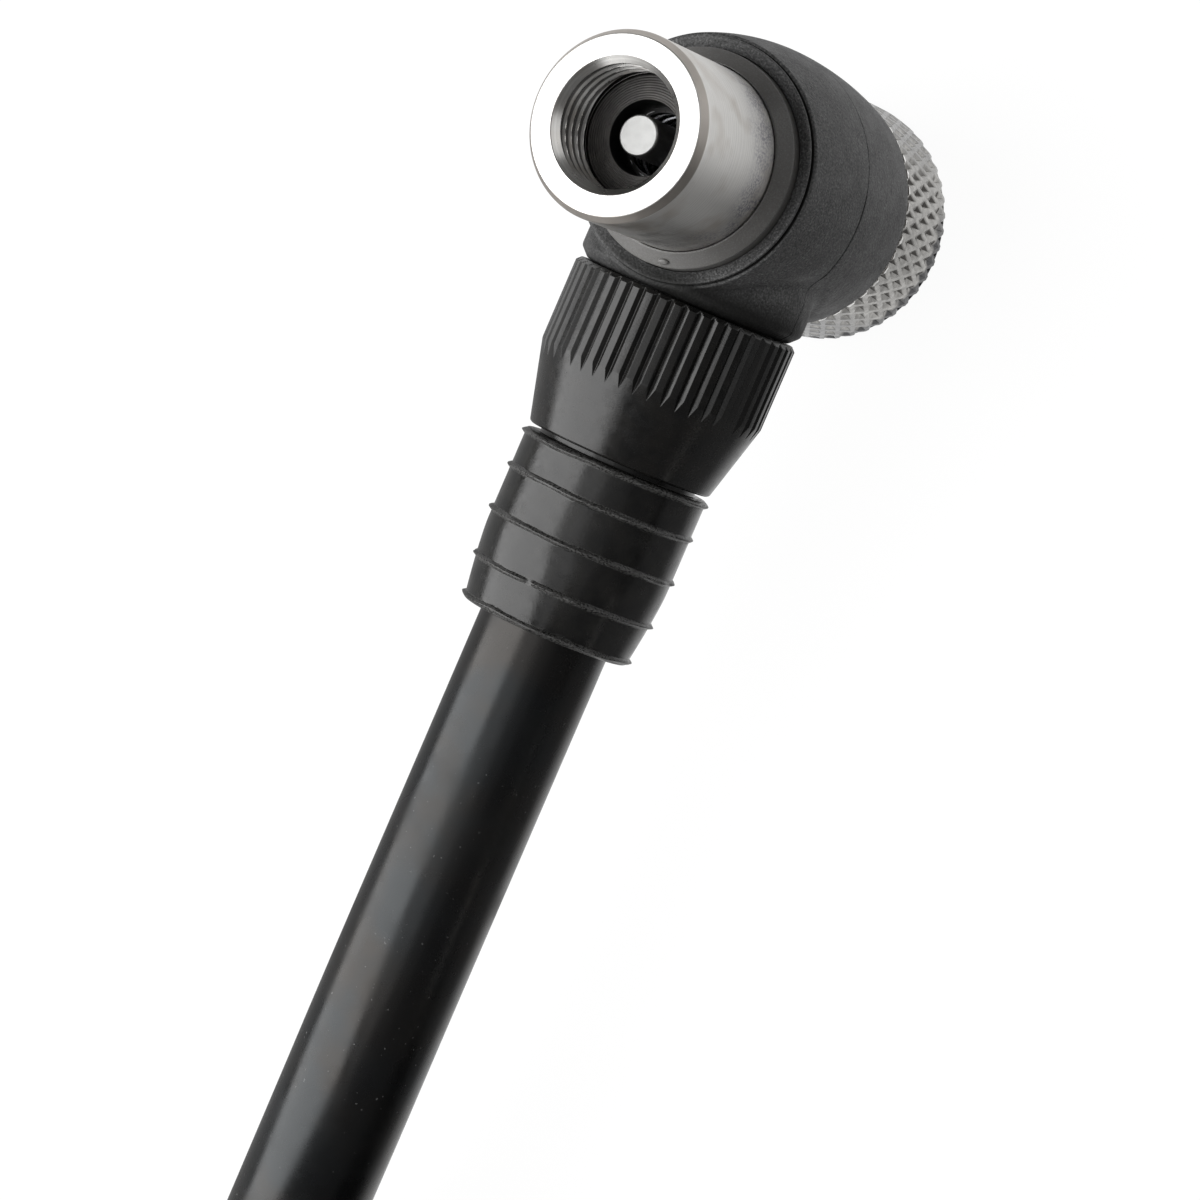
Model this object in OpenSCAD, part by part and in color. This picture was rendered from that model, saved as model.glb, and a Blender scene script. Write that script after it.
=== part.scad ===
// Air-operated shutter release: a right-angle screw-on head with a push pin,
// a ribbed bend relief, a rubber hose put away in a coil, and a squeeze bulb.
// Millimetres. +Z is the axis of the screw-on collar, and the object stands on
// the flat back of its knurled knob at Z = 0. The hose arm points along -Y.

/* [Screw-on collar] */
// Outer diameter of the collar
collar_d = 11; // [10.6:0.1:11.4]
// Length of collar that stands out of the housing
collar_proud = 10.8; // [9.5:0.05:11.5]
// Chamfer round the outside of the mouth
collar_chamfer = 0.3; // [0.1:0.05:0.5]
// Diameter of the plain lead-in at the mouth
lead_in_d = 7.9; // [7.6:0.1:8.4]
// Depth of the plain lead-in
lead_in_depth = 0.6; // [0.3:0.1:0.9]
// Core diameter of the internal thread
thread_core_d = 7.1; // [6.9:0.1:7.3]
// Length of the thread
thread_len = 3.1; // [2.6:0.1:3.4]
// Diameter of the undercut behind the thread
undercut_d = 8; // [7.8:0.1:8.4]
// Outer diameter of the face gasket
gasket_d = 7.4; // [7:0.1:7.6]
// Hole in the face gasket
gasket_hole_d = 4.3; // [4:0.1:4.6]
// Width of the flat lip round that hole
gasket_lip_w = 0.35; // [0.2:0.05:0.5]
// Depth of the gasket's lip below the mouth
gasket_depth = 4.05; // [3.6:0.05:4.3]
// Thickness of the gasket at its lip
gasket_t = 2.2; // [1.8:0.1:2.4]
// How far the gasket's rim lies below its lip
gasket_dish = 0.15; // [0.1:0.05:0.5]

/* [Spindle] */
// Diameter of the spindle's journal inside the head
journal_d = 8; // [7.8:0.1:8.2]
// Bore that the piston runs in
piston_bore_d = 5; // [4.8:0.1:5.2]
// Thickness of the solid web below the piston bore
bore_floor_drop = 1.3; // [1.1:0.1:1.5]
// Height of the air gallery turned in the journal
gallery_h = 2.2; // [1.8:0.1:2.4]
// Depth of the air gallery
gallery_depth = 0.6; // [0.4:0.1:0.8]
// Diameter of the spindle's four air ports
port_d = 1.4; // [1:0.1:1.6]
// Diameter of the knob seat at the spindle's end
seat_d = 6; // [5.6:0.1:6.4]
// Width over the two flats of the knob seat
seat_flats = 4.8; // [4.4:0.1:5.2]

/* [Push pin] */
// Diameter of the push pin
pin_d = 2.4; // [2.2:0.1:2.5]
// Depth of the pin's face below the mouth at rest
pin_depth = 3.15; // [2.9:0.05:3.5]
// Travel of the push pin
pin_travel = 4.5; // [3.5:0.1:4.5]
// Length of the piston on the pin
piston_len = 2; // [1.8:0.1:2.2]
// Height of the piston's underside above the hose arm's axis
piston_rise = 1.7; // [1.6:0.1:1.9]
// Cord diameter of the piston's ring
piston_ring_d = 0.56; // [0.5:0.02:0.6]
// Wire diameter of the return spring
spring_wire = 0.34; // [0.3:0.02:0.38]
// Mean diameter of the return spring
spring_mean_d = 4.2; // [4.16:0.02:4.3]
// Number of turns of the return spring
spring_turns = 6; // [5:1:7]
// Thickness of the ring that the spring bears on
spring_seat_t = 0.5; // [0.4:0.1:0.6]
// Hole in the ring that the spring bears on
spring_seat_hole_d = 3.7; // [3.5:0.05:3.8]

/* [Housing] */
// Greatest diameter of the housing, at the parting line
barrel_mid_d = 16.25; // [16.1:0.05:16.6]
// Diameter of the housing at its two ends
barrel_end_d = 14.9; // [14.8:0.05:15.2]
// Height of the front half above the parting line
front_half_h = 6.75; // [6.6:0.05:7.1]
// Height of the rear half below the parting line
rear_half_h = 7.85; // [7.6:0.05:8.1]
// Diameter of the raised rim round the front bush
rim_d = 14.7; // [14.5:0.05:14.8]
// Height of the raised rim
rim_h = 0.32; // [0.25:0.01:0.4]
// Depth of the bevel inside the rim, which leaves a groove round the front bush
rim_bevel = 0.3; // [0.2:0.05:0.35]
// Width of the bevel inside the rim
rim_bevel_w = 0.6; // [0.3:0.05:0.65]
// Width of the groove behind the rim
rim_groove_w = 0.28; // [0.2:0.02:0.35]
// Depth of the groove behind the rim
rim_groove_depth = 0.35; // [0.2:0.05:0.4]
// Diameter of the neck that the hose nut meets
neck_d = 13.9; // [13.6:0.1:14.1]
// Distance of the neck's end from the collar's axis
neck_reach = 7.7; // [7.6:0.05:8]
// Chamfer on the neck's end
neck_chamfer = 0.6; // [0.4:0.1:0.8]
// Thickness of the rear half's back wall
back_wall = 1.55; // [1.3:0.05:1.8]
// Diameter of the pins that align the two halves
dowel_d = 1; // [0.8:0.1:1.1]
// Length of the pins that align the two halves
dowel_len = 4; // [3:0.5:5]

/* [Bushes and seals] */
// Outer diameter of the front bush's nose
bush_nose_d = 12.9; // [12.7:0.05:13]
// Height of the bush's nose above the rim
bush_nose_h = 1.12; // [0.9:0.05:1.3]
// Depth of the front bush's seat below the rim
bush_depth = 1.95; // [1.6:0.05:2.2]
// Thickness of the thrust washer
washer_t = 0.5; // [0.4:0.1:0.6]
// Outer diameter of the rear bush
rear_bush_d = 10.4; // [10:0.1:10.8]
// How far the rear bush is sunk below the housing's back
rear_bush_sink = 0.2; // [0.1:0.05:0.4]
// Cord diameter of the two spindle rings
ring_cord_d = 1; // [0.9:0.05:1.1]
// Distance of each spindle ring from the hose arm's axis
ring_offset = 2.7; // [2.5:0.1:2.8]

/* [Air block] */
// Diameter of the brass air block
block_d = 12.4; // [12.2:0.1:12.6]
// Diameter of the threaded spigot
spigot_d = 8.8; // [8.6:0.1:9]
// Distance of the spigot's end from the collar's axis
spigot_reach = 12.4; // [12:0.1:12.8]
// Length of the hose barb
barb_len = 8; // [7:0.5:9]
// Diameter of the barb between its teeth
barb_root_d = 3.6; // [3.4:0.1:3.7]
// Diameter of the air passage
passage_d = 2.4; // [2:0.1:2.6]

/* [Knurled knob] */
// Diameter of the knob over its knurling
knob_d = 14.7; // [14.3:0.1:15]
// Thickness of the knob
knob_t = 6.5; // [6:0.1:7]
// Gap between the knob and the housing
knob_gap = 0.15; // [0.1:0.05:0.3]
// Length of the chamfer at the knob's back
knob_bevel = 1; // [0.6:0.1:1.2]
// Depth of the recess for the screw's head
recess_depth = 2; // [1.8:0.1:2.2]
// Diameter of the recess for the screw's head
recess_d = 6.4; // [6:0.1:7]
// Thickness of the web that the screw pulls on
knob_web = 1; // [0.8:0.1:1.4]
// Diameter of the knob's screw
screw_d = 2.5; // [2.3:0.1:2.6]
// Diameter of the screw's head
screw_head_d = 4.8; // [4.4:0.1:5.2]
// Thickness of the screw's head
screw_head_t = 1.4; // [1.2:0.1:1.6]
// Width of the slot in the screw's head
screw_slot_w = 0.6; // [0.4:0.1:0.8]
// Length of the screw below its head
screw_len = 5.5; // [4.5:0.5:6]

/* [Hose nut] */
// Diameter of the nut over its flutes
nut_d = 13.9; // [13.7:0.1:14.2]
// Length of the nut's straight, fluted part
nut_straight = 5.2; // [4.5:0.1:5.3]
// Length of the whole nut
nut_len = 10; // [9.6:0.1:10.4]
// Diameter at the small end of the nut's cone
nut_end_d = 11.4; // [11.2:0.1:11.6]
// Bevel on the nut's face
nut_bevel = 0.25; // [0.1:0.05:0.4]
// Number of flutes
flutes = 48; // [40:2:64]
// Depth of the flutes
flute_depth = 0.28; // [0.2:0.02:0.4]
// Wall of the hose sleeve inside the nut
sleeve_t = 0.55; // [0.45:0.05:0.6]
// Room left in the nut between the hose sleeve and the bend relief
sleeve_room = 0.75; // [0.4:0.05:1]

/* [Bend relief] */
// Diameter of the relief between its first ribs
relief_d = 11.4; // [11.2:0.1:11.6]
// Length of the relief's spigot in the nut's mouth
relief_spigot_len = 1.2; // [0.8:0.1:1.4]
// Thickness of the nut's lip round that spigot
nut_lip_t = 0.8; // [0.6:0.1:0.9]
// Diameter of the relief at its hose end
relief_end_d = 10.3; // [10:0.1:10.6]
// Length of the relief outside the nut
relief_len = 10.65; // [10:0.05:11.5]
// Gap between the nut and the relief's first rib
relief_gap = 0.35; // [0.2:0.05:0.5]
// Height of a rib
rib_h = 0.22; // [0.15:0.01:0.3]
// Width of a rib
rib_w = 0.5; // [0.4:0.02:0.6]
// Number of ribs
ribs = 5; // [3:1:6]

/* [Hose] */
// Outer diameter of the hose
hose_d = 8; // [7.8:0.1:8.1]
// Bore of the hose
hose_bore_d = 4; // [3.8:0.1:4.2]
// Distance of the coil's centre from the collar's axis, to the side
coil_x = 44.8; // [44:0.2:48]
// Distance of the coil's centre from the collar's axis, along the arm
coil_reach = 107; // [107:1:112]
// Length of hose between the coil and the crimped sleeve
tail_len = 25; // [25:1:30]
// How far the hose drops between the coil and the crimped sleeve
tail_drop = 0.8; // [0.6:0.1:1]
// Number of turns in the coil
coil_turns = 2.5; // [1.5:1:3.5]
// Radius of the coil where the hose enters it
coil_r = 49.4; // [48:0.2:52]
// Distance between neighbouring turns of the coil
coil_pitch = 8.6; // [8.6:0.1:9]
// Thickness of the strap that holds the coil
strap_t = 0.5; // [0.3:0.1:0.6]
// Width of the strap that holds the coil
strap_w = 8; // [6:1:10]
// Slack between the strap and the hose
strap_slack = 0.1; // [0.05:0.05:0.2]

/* [Hand end] */
// Diameter of the squeeze bulb
bulb_d = 34; // [32:0.5:36]
// Length of the squeeze bulb past its neck
bulb_len = 50; // [46:1:54]
// Wall of the squeeze bulb
bulb_wall = 2.2; // [1.8:0.1:2.6]
// Outer diameter of the bulb's neck
bulb_neck_d = 12.4; // [11.8:0.1:13]
// Length of the bulb's neck
bulb_neck_len = 9; // [8:0.5:10]
// Diameter of the nipple that the bulb is pushed on
nipple_d = 7.4; // [7:0.1:7.8]
// Diameter of the nipple between its teeth
nipple_root_d = 6.8; // [6.4:0.1:6.9]
// Diameter of the valve's body
valve_d = 10.4; // [10:0.1:11]
// Length of the valve's body
valve_len = 11; // [10:0.5:12]
// Diameter of the valve's flange
valve_flange_d = 12.6; // [12:0.1:13]
// Thickness of the valve's flange
valve_flange_t = 1.6; // [1.2:0.1:2]
// Length of the crimped sleeve on the hose
crimp_len = 11; // [10:0.5:12]
// Wall of the crimped sleeve
crimp_t = 0.7; // [0.5:0.1:0.9]
// Diameter of the lock screw's thread
lock_d = 2.4; // [2.2:0.1:2.6]
// Diameter of the lock screw's head
lock_head_d = 7.2; // [6.6:0.2:8]
// Thickness of the lock screw's head
lock_head_t = 3.2; // [2.8:0.2:3.6]
// Distance of the lock screw from the valve's flange
lock_place = 4.4; // [4:0.1:5]
// Wall of the boss round the lock screw
lock_boss_t = 1.5; // [1.2:0.1:1.8]
// Height of the lock screw's head above the valve's axis
lock_rise = 7.6; // [7.2:0.1:8]
// Bevel on the lock screw's head and tip
lock_bevel = 0.4; // [0.2:0.1:0.6]
// Width of the band round the bulb's neck
band_w = 3; // [2:0.5:4]
// Thickness of the band round the bulb's neck
band_t = 0.5; // [0.4:0.1:0.7]

/* [Fits] */
// Radial clearance of a turning or sliding fit
run_fit = 0.05; // [0.02:0.01:0.08]
// Radial clearance of a seal on what moves in it
seal_fit = 0.03; // [0.02:0.01:0.04]
// Clearance of a piece that is pushed into another
seat_fit = 0.02; // [0.01:0.01:0.03]

/* [Hidden] */

$fn = 96;
over = 0.1; // how far a cut runs past what it cuts
edge = 0.1; // chamfer on a small turned edge
butt_gap = 0.05; // gap between two pieces that meet end to end
spigot_gap = 0.4; // gap between the block's spigot and the hose sleeve
neck_gap = 0.2; // gap between the valve's body and the bulb's neck
nipple_short = 0.5; // how much shorter than the bulb's neck the nipple is
belly_lift = 0.1; // how far the tilted bulb's widest ring stands off its true rest

// Heights along the collar's axis
knob_top = knob_t;
back_z = knob_top + knob_gap;
arm_z = back_z + rear_half_h;
rim_z = arm_z + front_half_h;
mouth_z = rim_z + collar_proud;
block_bottom = back_z + back_wall;
washer_top = rim_z - bush_depth;
block_top = washer_top - washer_t;
shoulder_z = washer_top + run_fit;
lip_z = mouth_z - gasket_depth;
rim_of_gasket = lip_z - gasket_dish;
gasket_bottom = lip_z - gasket_t;
seat_ring_bottom = gasket_bottom - spring_seat_t;
thread_end = mouth_z - lead_in_depth - thread_len;
pin_tip = mouth_z - pin_depth;
piston_bottom = arm_z + piston_rise;
piston_top = piston_bottom + piston_len;
bore_floor = arm_z - bore_floor_drop;
seat_end = recess_depth + knob_web + run_fit;
bush_hole_d = bush_nose_d + 4 * seat_fit;

// Distances from the collar's axis along the hose arm
nut_start = neck_reach + butt_gap;
nut_end = nut_start + nut_len;
relief_start = nut_end + relief_gap;
relief_end = relief_start + relief_len;
relief_spigot_r = nut_end_d / 2 - nut_lip_t;
sleeve_start = spigot_reach + spigot_gap;
sleeve_len = nut_end - relief_spigot_len - sleeve_room - sleeve_start;

// The hose's route. The run starts at the relief, and the tail ends at the crimped sleeve.
coil_y = -coil_reach;
coil_stub = hose_d;
coil_z = hose_d / 2 + strap_slack + strap_t;
coil_top_z = coil_z + coil_pitch;
coil_in = [coil_x - coil_r, coil_y + coil_stub, coil_z];
coil_out = [coil_x + coil_r, coil_y + coil_stub, coil_top_z];
run_points = concat([[0, -relief_end, arm_z]],
  [[0, -40, arm_z], [0, -52, arm_z], [-0.3, -60, 13.8], [-1.2, -68, 11.9],
   [-2.4, -76, 9.4], [-3.5, -84, 6.9], [-4.4, -91, 5.1]],
  [coil_in + [0, 3, 0], coil_in]);

// The hand end rests on the bulb's belly. Its own axis, w, starts at the valve's flange.
crimp_mouth = coil_out + [0, tail_len, -tail_drop];
bulb_start = valve_len + neck_gap;
belly_w = bulb_start + bulb_neck_len + bulb_len / 2;
belly_z = bulb_d / 2 + belly_lift;
hand_tilt = asin((belly_z - crimp_mouth[2]) / (crimp_len + belly_w));
hand_axis = [0, cos(hand_tilt), sin(hand_tilt)];
tail_points = concat([coil_out], [coil_out + [0, 7, 0], coil_out + [0, 15, -0.5]],
  [crimp_mouth - 3 * hand_axis, crimp_mouth]);
valve_mouth = crimp_mouth + crimp_len * hand_axis;
lock_w = valve_flange_t + lock_place;
nipple_len = bulb_neck_len - nipple_short;

module along_arm(distance) {
  translate([0, -distance, arm_z]) rotate([90, 0, 0]) children();
}

module at_hand(w) {
  translate(valve_mouth + w * hand_axis) rotate([hand_tilt - 90, 0, 0]) children();
}

module ring(outer, inner, height) {
  difference() {
    cylinder(d = outer, h = height);
    translate([0, 0, -over]) cylinder(d = inner, h = height + 2 * over);
  }
}

module o_ring(inner_r, cord) {
  rotate_extrude() translate([inner_r + cord / 2, 0]) circle(d = cord, $fn = 24);
}

// A barrel-shaped half: widest at its foot, with a curved side
function barrel_side(r_foot, r_top, height, steps = 6) =
  [for (i = [0:steps]) let (u = i / steps) [r_foot - (r_foot - r_top) * u * u, height * u]];

// A hose barb, small end up
module barb(root_d, tip_d, length, teeth = 3) {
  pitch = length / teeth;
  rotate_extrude() polygon(concat([[0, 0]],
    [for (i = [0:teeth - 1]) each [
      [root_d / 2, i * pitch], [root_d / 2, (i + 0.35) * pitch],
      [tip_d / 2, (i + 0.35) * pitch], [tip_d / 2, (i + 0.5) * pitch]]],
    [[root_d / 2 * 0.95, length], [0, length]]));
}

// Frames and faces of a tube that is swept along a list of points
function unit(v) = v / norm(v);
function heading(p, i) = unit(p[min(i + 1, len(p) - 1)] - p[max(i - 1, 0)]);
function ring_at(p, i, r, sides) =
  let (t = heading(p, i), a = unit(cross(t, [0, 0, 1])), b = cross(t, a))
  [for (k = [0:sides - 1]) p[i] + r * (cos(360 * k / sides) * a + sin(360 * k / sides) * b)];
function tube_faces(rings, sides) = concat(
  [for (k = [1:sides - 2]) [0, k + 1, k]],
  [for (i = [0:rings - 2], k = [0:sides - 1]) let (n = (k + 1) % sides, a = i * sides)
    each [[a + k, a + n, a + sides + k], [a + n, a + sides + n, a + sides + k]]],
  [for (k = [1:sides - 2]) let (a = (rings - 1) * sides) [a, a + k, a + k + 1]]);

module tube(points, d, sides) {
  rings = [for (i = [0:len(points) - 1]) each ring_at(points, i, d / 2, sides)];
  polyhedron(rings, tube_faces(len(points), sides), convexity = 8);
}

// The outer outline of both halves, before they are hollowed and parted
module housing_outline() {
  rim_foot = front_half_h - rim_h;
  groove_foot = rim_foot - rim_groove_w;
  neck_r = neck_d / 2;
  translate([0, 0, arm_z]) rotate_extrude() polygon(concat(
    [[0, 0]], barrel_side(barrel_mid_d / 2, barrel_end_d / 2, groove_foot),
    [[rim_d / 2 - rim_groove_depth, groove_foot], [rim_d / 2 - rim_groove_depth, rim_foot],
     [rim_d / 2, rim_foot], [rim_d / 2, front_half_h - edge],
     [rim_d / 2 - edge, front_half_h], [0, front_half_h]]));
  mirror([0, 0, 1]) translate([0, 0, -arm_z]) rotate_extrude() polygon(concat(
    [[0, 0]], barrel_side(barrel_mid_d / 2, barrel_end_d / 2, rear_half_h), [[0, rear_half_h]]));
  intersection() {
    along_arm(0) rotate_extrude() polygon([[0, 0], [neck_r, 0],
      [neck_r, neck_reach - neck_chamfer], [neck_r - neck_chamfer, neck_reach], [0, neck_reach]]);
    translate([-neck_r, -neck_reach - over, back_z])
      cube([neck_d, neck_reach + over, rear_half_h + front_half_h]);
  }
}

// What is cut out of the housing: the block's room, the bushes' holes, the neck's passage,
// and what would stand out past the neck's end
module housing_room() {
  translate([0, 0, block_bottom]) cylinder(d = block_d + 2 * seat_fit, h = washer_top - block_bottom);
  translate([0, 0, washer_top - over]) cylinder(d = bush_hole_d, h = rim_z - washer_top + 2 * over);
  translate([0, 0, rim_z - rim_bevel])
    cylinder(d1 = bush_hole_d, d2 = bush_hole_d + 2 * rim_bevel_w, h = rim_bevel + over);
  translate([0, 0, back_z - over]) cylinder(d = rear_bush_d + 2 * seat_fit, h = back_wall + 2 * over);
  along_arm(0) cylinder(d = spigot_d + 2 * seat_fit, h = neck_reach + over);
  along_arm(neck_reach) cylinder(d = barrel_mid_d, h = barrel_mid_d);
}

module half(from_z, height) {
  intersection() {
    difference() {
      housing_outline();
      housing_room();
      dowel_places() cylinder(d = dowel_d + 2 * seat_fit, h = dowel_len);
    }
    translate([-barrel_mid_d, -barrel_mid_d, from_z]) cube([2 * barrel_mid_d, 2 * barrel_mid_d, height]);
  }
}

module dowel_places() {
  wall_r = (block_d / 2 + barrel_mid_d / 2) / 2;
  for (angle = [35, 145])
    rotate([0, 0, angle]) translate([wall_r, 0, arm_z - dowel_len / 2]) children();
}

module front_shell() { color("#2b2b2c") half(arm_z, front_half_h + over); }

module rear_shell() { color("#29292a") half(back_z - over, rear_half_h + over); }

module shell_dowels() {
  color("silver") dowel_places() translate([0, 0, over]) cylinder(d = dowel_d, h = dowel_len - 2 * over);
}

module front_bush() {
  top = rim_z + bush_nose_h;
  bore_r = collar_d / 2 + run_fit;
  nose_r = bush_nose_d / 2;
  color("#1d1d1e") rotate_extrude() polygon([
    [bore_r, washer_top], [nose_r, washer_top], [nose_r, rim_z + over],
    [bore_r + edge, top], [bore_r, top]]);
}

module rear_bush() {
  color("tan") translate([0, 0, back_z + rear_bush_sink])
    ring(rear_bush_d, journal_d + 2 * run_fit, back_wall - rear_bush_sink);
}

module thrust_washer() {
  color("ivory") translate([0, 0, block_top])
    ring(block_d - 2 * run_fit, journal_d + 2 * run_fit, washer_t);
}

module air_block() {
  groove_d = journal_d + 2 * (seal_fit + ring_cord_d);
  groove_h = 1.3 * ring_cord_d;
  color("goldenrod") difference() {
    union() {
      translate([0, 0, block_bottom]) cylinder(d = block_d, h = block_top - block_bottom);
      along_arm(0) cylinder(d = spigot_d, h = spigot_reach);
      along_arm(spigot_reach - over) barb(barb_root_d, hose_bore_d, barb_len + over);
    }
    translate([0, 0, block_bottom - over])
      cylinder(d = journal_d + 2 * run_fit, h = block_top - block_bottom + 2 * over);
    for (side = [-1, 1])
      translate([0, 0, arm_z + side * ring_offset - groove_h / 2])
        cylinder(d = groove_d, h = groove_h);
    translate([0, 0, block_top]) cylinder(d = block_d + 2 * seat_fit, h = washer_t);
    along_arm(0) cylinder(d = passage_d, h = spigot_reach + barb_len + over);
  }
}

module spindle_rings() {
  color("#151515") for (side = [-1, 1])
    translate([0, 0, arm_z + side * ring_offset]) o_ring(journal_d / 2 + seal_fit, ring_cord_d);
}

module collar_spindle() {
  r = collar_d / 2;
  journal_r = journal_d / 2;
  color("#b9bab8") difference() {
    union() {
      rotate_extrude() polygon([
        [0, knob_top], [journal_r, knob_top], [journal_r, arm_z - gallery_h / 2],
        [journal_r - gallery_depth, arm_z - gallery_h / 2],
        [journal_r - gallery_depth, arm_z + gallery_h / 2],
        [journal_r, arm_z + gallery_h / 2], [journal_r, shoulder_z], [r, shoulder_z],
        [r, mouth_z - collar_chamfer], [r - collar_chamfer, mouth_z], [0, mouth_z]]);
      knob_seat(0, knob_top + over);
    }
    translate([0, 0, bore_floor]) cylinder(d = piston_bore_d, h = mouth_z);
    translate([0, 0, seat_ring_bottom])
      cylinder(d = gasket_d + 2 * seat_fit, h = rim_of_gasket - seat_ring_bottom + over);
    translate([0, 0, rim_of_gasket]) cylinder(d = undercut_d, h = thread_end - rim_of_gasket);
    translate([0, 0, thread_end - over]) cylinder(d = thread_core_d, h = mouth_z);
    translate([0, 0, mouth_z - lead_in_depth]) cylinder(d = lead_in_d, h = lead_in_depth + over);
    for (angle = [0, 90])
      rotate([0, 0, angle]) translate([-journal_d, 0, arm_z]) rotate([0, 90, 0])
        cylinder(d = port_d, h = 2 * journal_d);
    translate([0, 0, seat_end - over]) cylinder(d = screw_d, h = screw_len + over);
  }
}

// The two-flat seat that turns the spindle with the knob
module knob_seat(clearance, top) {
  intersection() {
    translate([0, 0, seat_end]) cylinder(d = seat_d + 2 * clearance, h = top - seat_end);
    translate([-seat_d, -seat_flats / 2 - clearance, 0])
      cube([2 * seat_d, seat_flats + 2 * clearance, top + over]);
  }
}

module face_gasket() {
  hole_r = gasket_hole_d / 2;
  color("#3a3a38") rotate_extrude() polygon([
    [hole_r, gasket_bottom], [gasket_d / 2, gasket_bottom],
    [gasket_d / 2, rim_of_gasket - edge], [gasket_d / 2 - edge, rim_of_gasket],
    [hole_r + gasket_lip_w, lip_z], [hole_r + edge, lip_z], [hole_r, lip_z - edge]]);
}

module spring_seat_ring() {
  color("dimgray") translate([0, 0, seat_ring_bottom])
    ring(gasket_d, spring_seat_hole_d, spring_seat_t);
}

module push_pin() {
  r = pin_d / 2;
  piston_r = piston_bore_d / 2 - run_fit;
  groove_r = piston_bore_d / 2 - seal_fit - piston_ring_d;
  groove_h = 0.5 * piston_len;
  mid = piston_bottom + piston_len / 2;
  color("#d8d8d4") rotate_extrude() polygon([
    [0, piston_bottom], [piston_r, piston_bottom], [piston_r, mid - groove_h / 2],
    [groove_r, mid - groove_h / 2], [groove_r, mid + groove_h / 2],
    [piston_r, mid + groove_h / 2], [piston_r, piston_top], [r, piston_top],
    [r, pin_tip - edge], [r - edge, pin_tip], [0, pin_tip]]);
}

module piston_ring() {
  color("#151515") translate([0, 0, piston_bottom + piston_len / 2])
    o_ring(piston_bore_d / 2 - seal_fit - piston_ring_d, piston_ring_d);
}

module return_spring() {
  steps = 10 * spring_turns;
  low = piston_top + spring_wire / 2 + seat_fit;
  rise = seat_ring_bottom - piston_top - spring_wire - 2 * seat_fit;
  path = [for (i = [0:steps]) let (a = 360 * spring_turns * i / steps)
    [spring_mean_d / 2 * cos(a), spring_mean_d / 2 * sin(a), low + rise * i / steps]];
  color("lightsteelblue") tube(path, spring_wire, 6);
}

module knurled_knob() {
  r = knob_d / 2;
  color("#c4c2bb") difference() {
    rotate_extrude() polygon([[0, 0], [r - 0.25 * knob_bevel, 0], [r, knob_bevel],
      [r, knob_top - 2 * edge], [r - 2 * edge, knob_top], [0, knob_top]]);
    translate([0, 0, -over]) cylinder(d = recess_d, h = recess_depth + over);
    translate([0, 0, -over]) cylinder(d = screw_d + 4 * run_fit, h = knob_top);
    knob_seat(seat_fit, knob_top + over);
  }
}

module knob_screw() {
  head_z = recess_depth - screw_head_t;
  color("silver") difference() {
    union() {
      translate([0, 0, head_z]) cylinder(d = screw_head_d, h = screw_head_t);
      translate([0, 0, head_z]) cylinder(d = screw_d - 2 * seat_fit, h = screw_head_t + screw_len);
    }
    translate([-screw_head_d, -screw_slot_w / 2, head_z - over])
      cube([2 * screw_head_d, screw_slot_w, screw_head_t / 2 + over]);
  }
}

// A round section with straight V-shaped flutes
function fluted(r, depth, count) = [for (i = [0:count - 1]) let (p = 360 / count, a = i * p) each [
  r * [cos(a - 0.28 * p), sin(a - 0.28 * p)], r * [cos(a + 0.28 * p), sin(a + 0.28 * p)],
  (r - depth) * [cos(a + 0.5 * p), sin(a + 0.5 * p)]]];

module hose_nut() {
  r = nut_d / 2;
  cavity_d = hose_d + 2 * (sleeve_t + 2 * seat_fit);
  color("#131314") along_arm(nut_start) difference() {
    intersection() {
      linear_extrude(nut_len) polygon(fluted(r, flute_depth, flutes));
      rotate_extrude() polygon([[0, 0], [r - nut_bevel, 0], [r, nut_bevel], [r, nut_straight],
        [nut_end_d / 2, nut_len], [0, nut_len]]);
    }
    translate([0, 0, -over])
      cylinder(d = spigot_d + 2 * seat_fit, h = spigot_reach - nut_start + over);
    translate([0, 0, spigot_reach - nut_start - over])
      cylinder(d = cavity_d, h = sleeve_start + sleeve_len - spigot_reach + 2 * over);
    translate([0, 0, nut_len - relief_spigot_len - over])
      cylinder(r = relief_spigot_r + seat_fit, h = relief_spigot_len + 2 * over);
    translate([0, 0, -over]) cylinder(d = hose_d + 2 * seat_fit, h = nut_len + 2 * over);
  }
}

module hose_sleeve() {
  color("goldenrod") along_arm(sleeve_start)
    ring(hose_d + 2 * (sleeve_t + seat_fit), hose_d + 2 * seat_fit, sleeve_len);
}

// Radius of the relief at a share u of its length: straight, then a gentle taper
function relief_r(u, taper_from = 0.55, curve = 1.4) = relief_d / 2
  - (relief_d - relief_end_d) / 2 * pow(max(0, u - taper_from) / (1 - taper_from), curve);

module bend_relief() {
  steps = 40;
  span = relief_len - rib_w;
  side = [for (i = [0:steps]) [relief_r(i / steps), relief_len * i / steps]];
  color("#1a1a1b") along_arm(relief_start) difference() {
    union() {
      rotate_extrude() polygon(concat([[0, 0]], side, [[0, relief_len]]));
      for (i = [0:ribs - 1]) let (z = span * i / (ribs - 1), r = relief_r(z / relief_len) + rib_h)
        translate([0, 0, z]) rotate_extrude() polygon([[0, 0], [r - edge, 0], [r, edge],
          [r, rib_w - edge], [r - edge, rib_w], [0, rib_w]]);
      translate([0, 0, -relief_gap - relief_spigot_len])
        cylinder(r = relief_spigot_r, h = relief_gap + relief_spigot_len + over);
    }
    translate([0, 0, -relief_gap - relief_spigot_len - over])
      cylinder(d = hose_d + 2 * seat_fit, h = relief_len + relief_gap + relief_spigot_len + 2 * over);
  }
}

module hose_head_end() {
  color("#1c1c1d") along_arm(spigot_reach)
    ring(hose_d, hose_bore_d + 2 * seat_fit, relief_end - spigot_reach);
}

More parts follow.
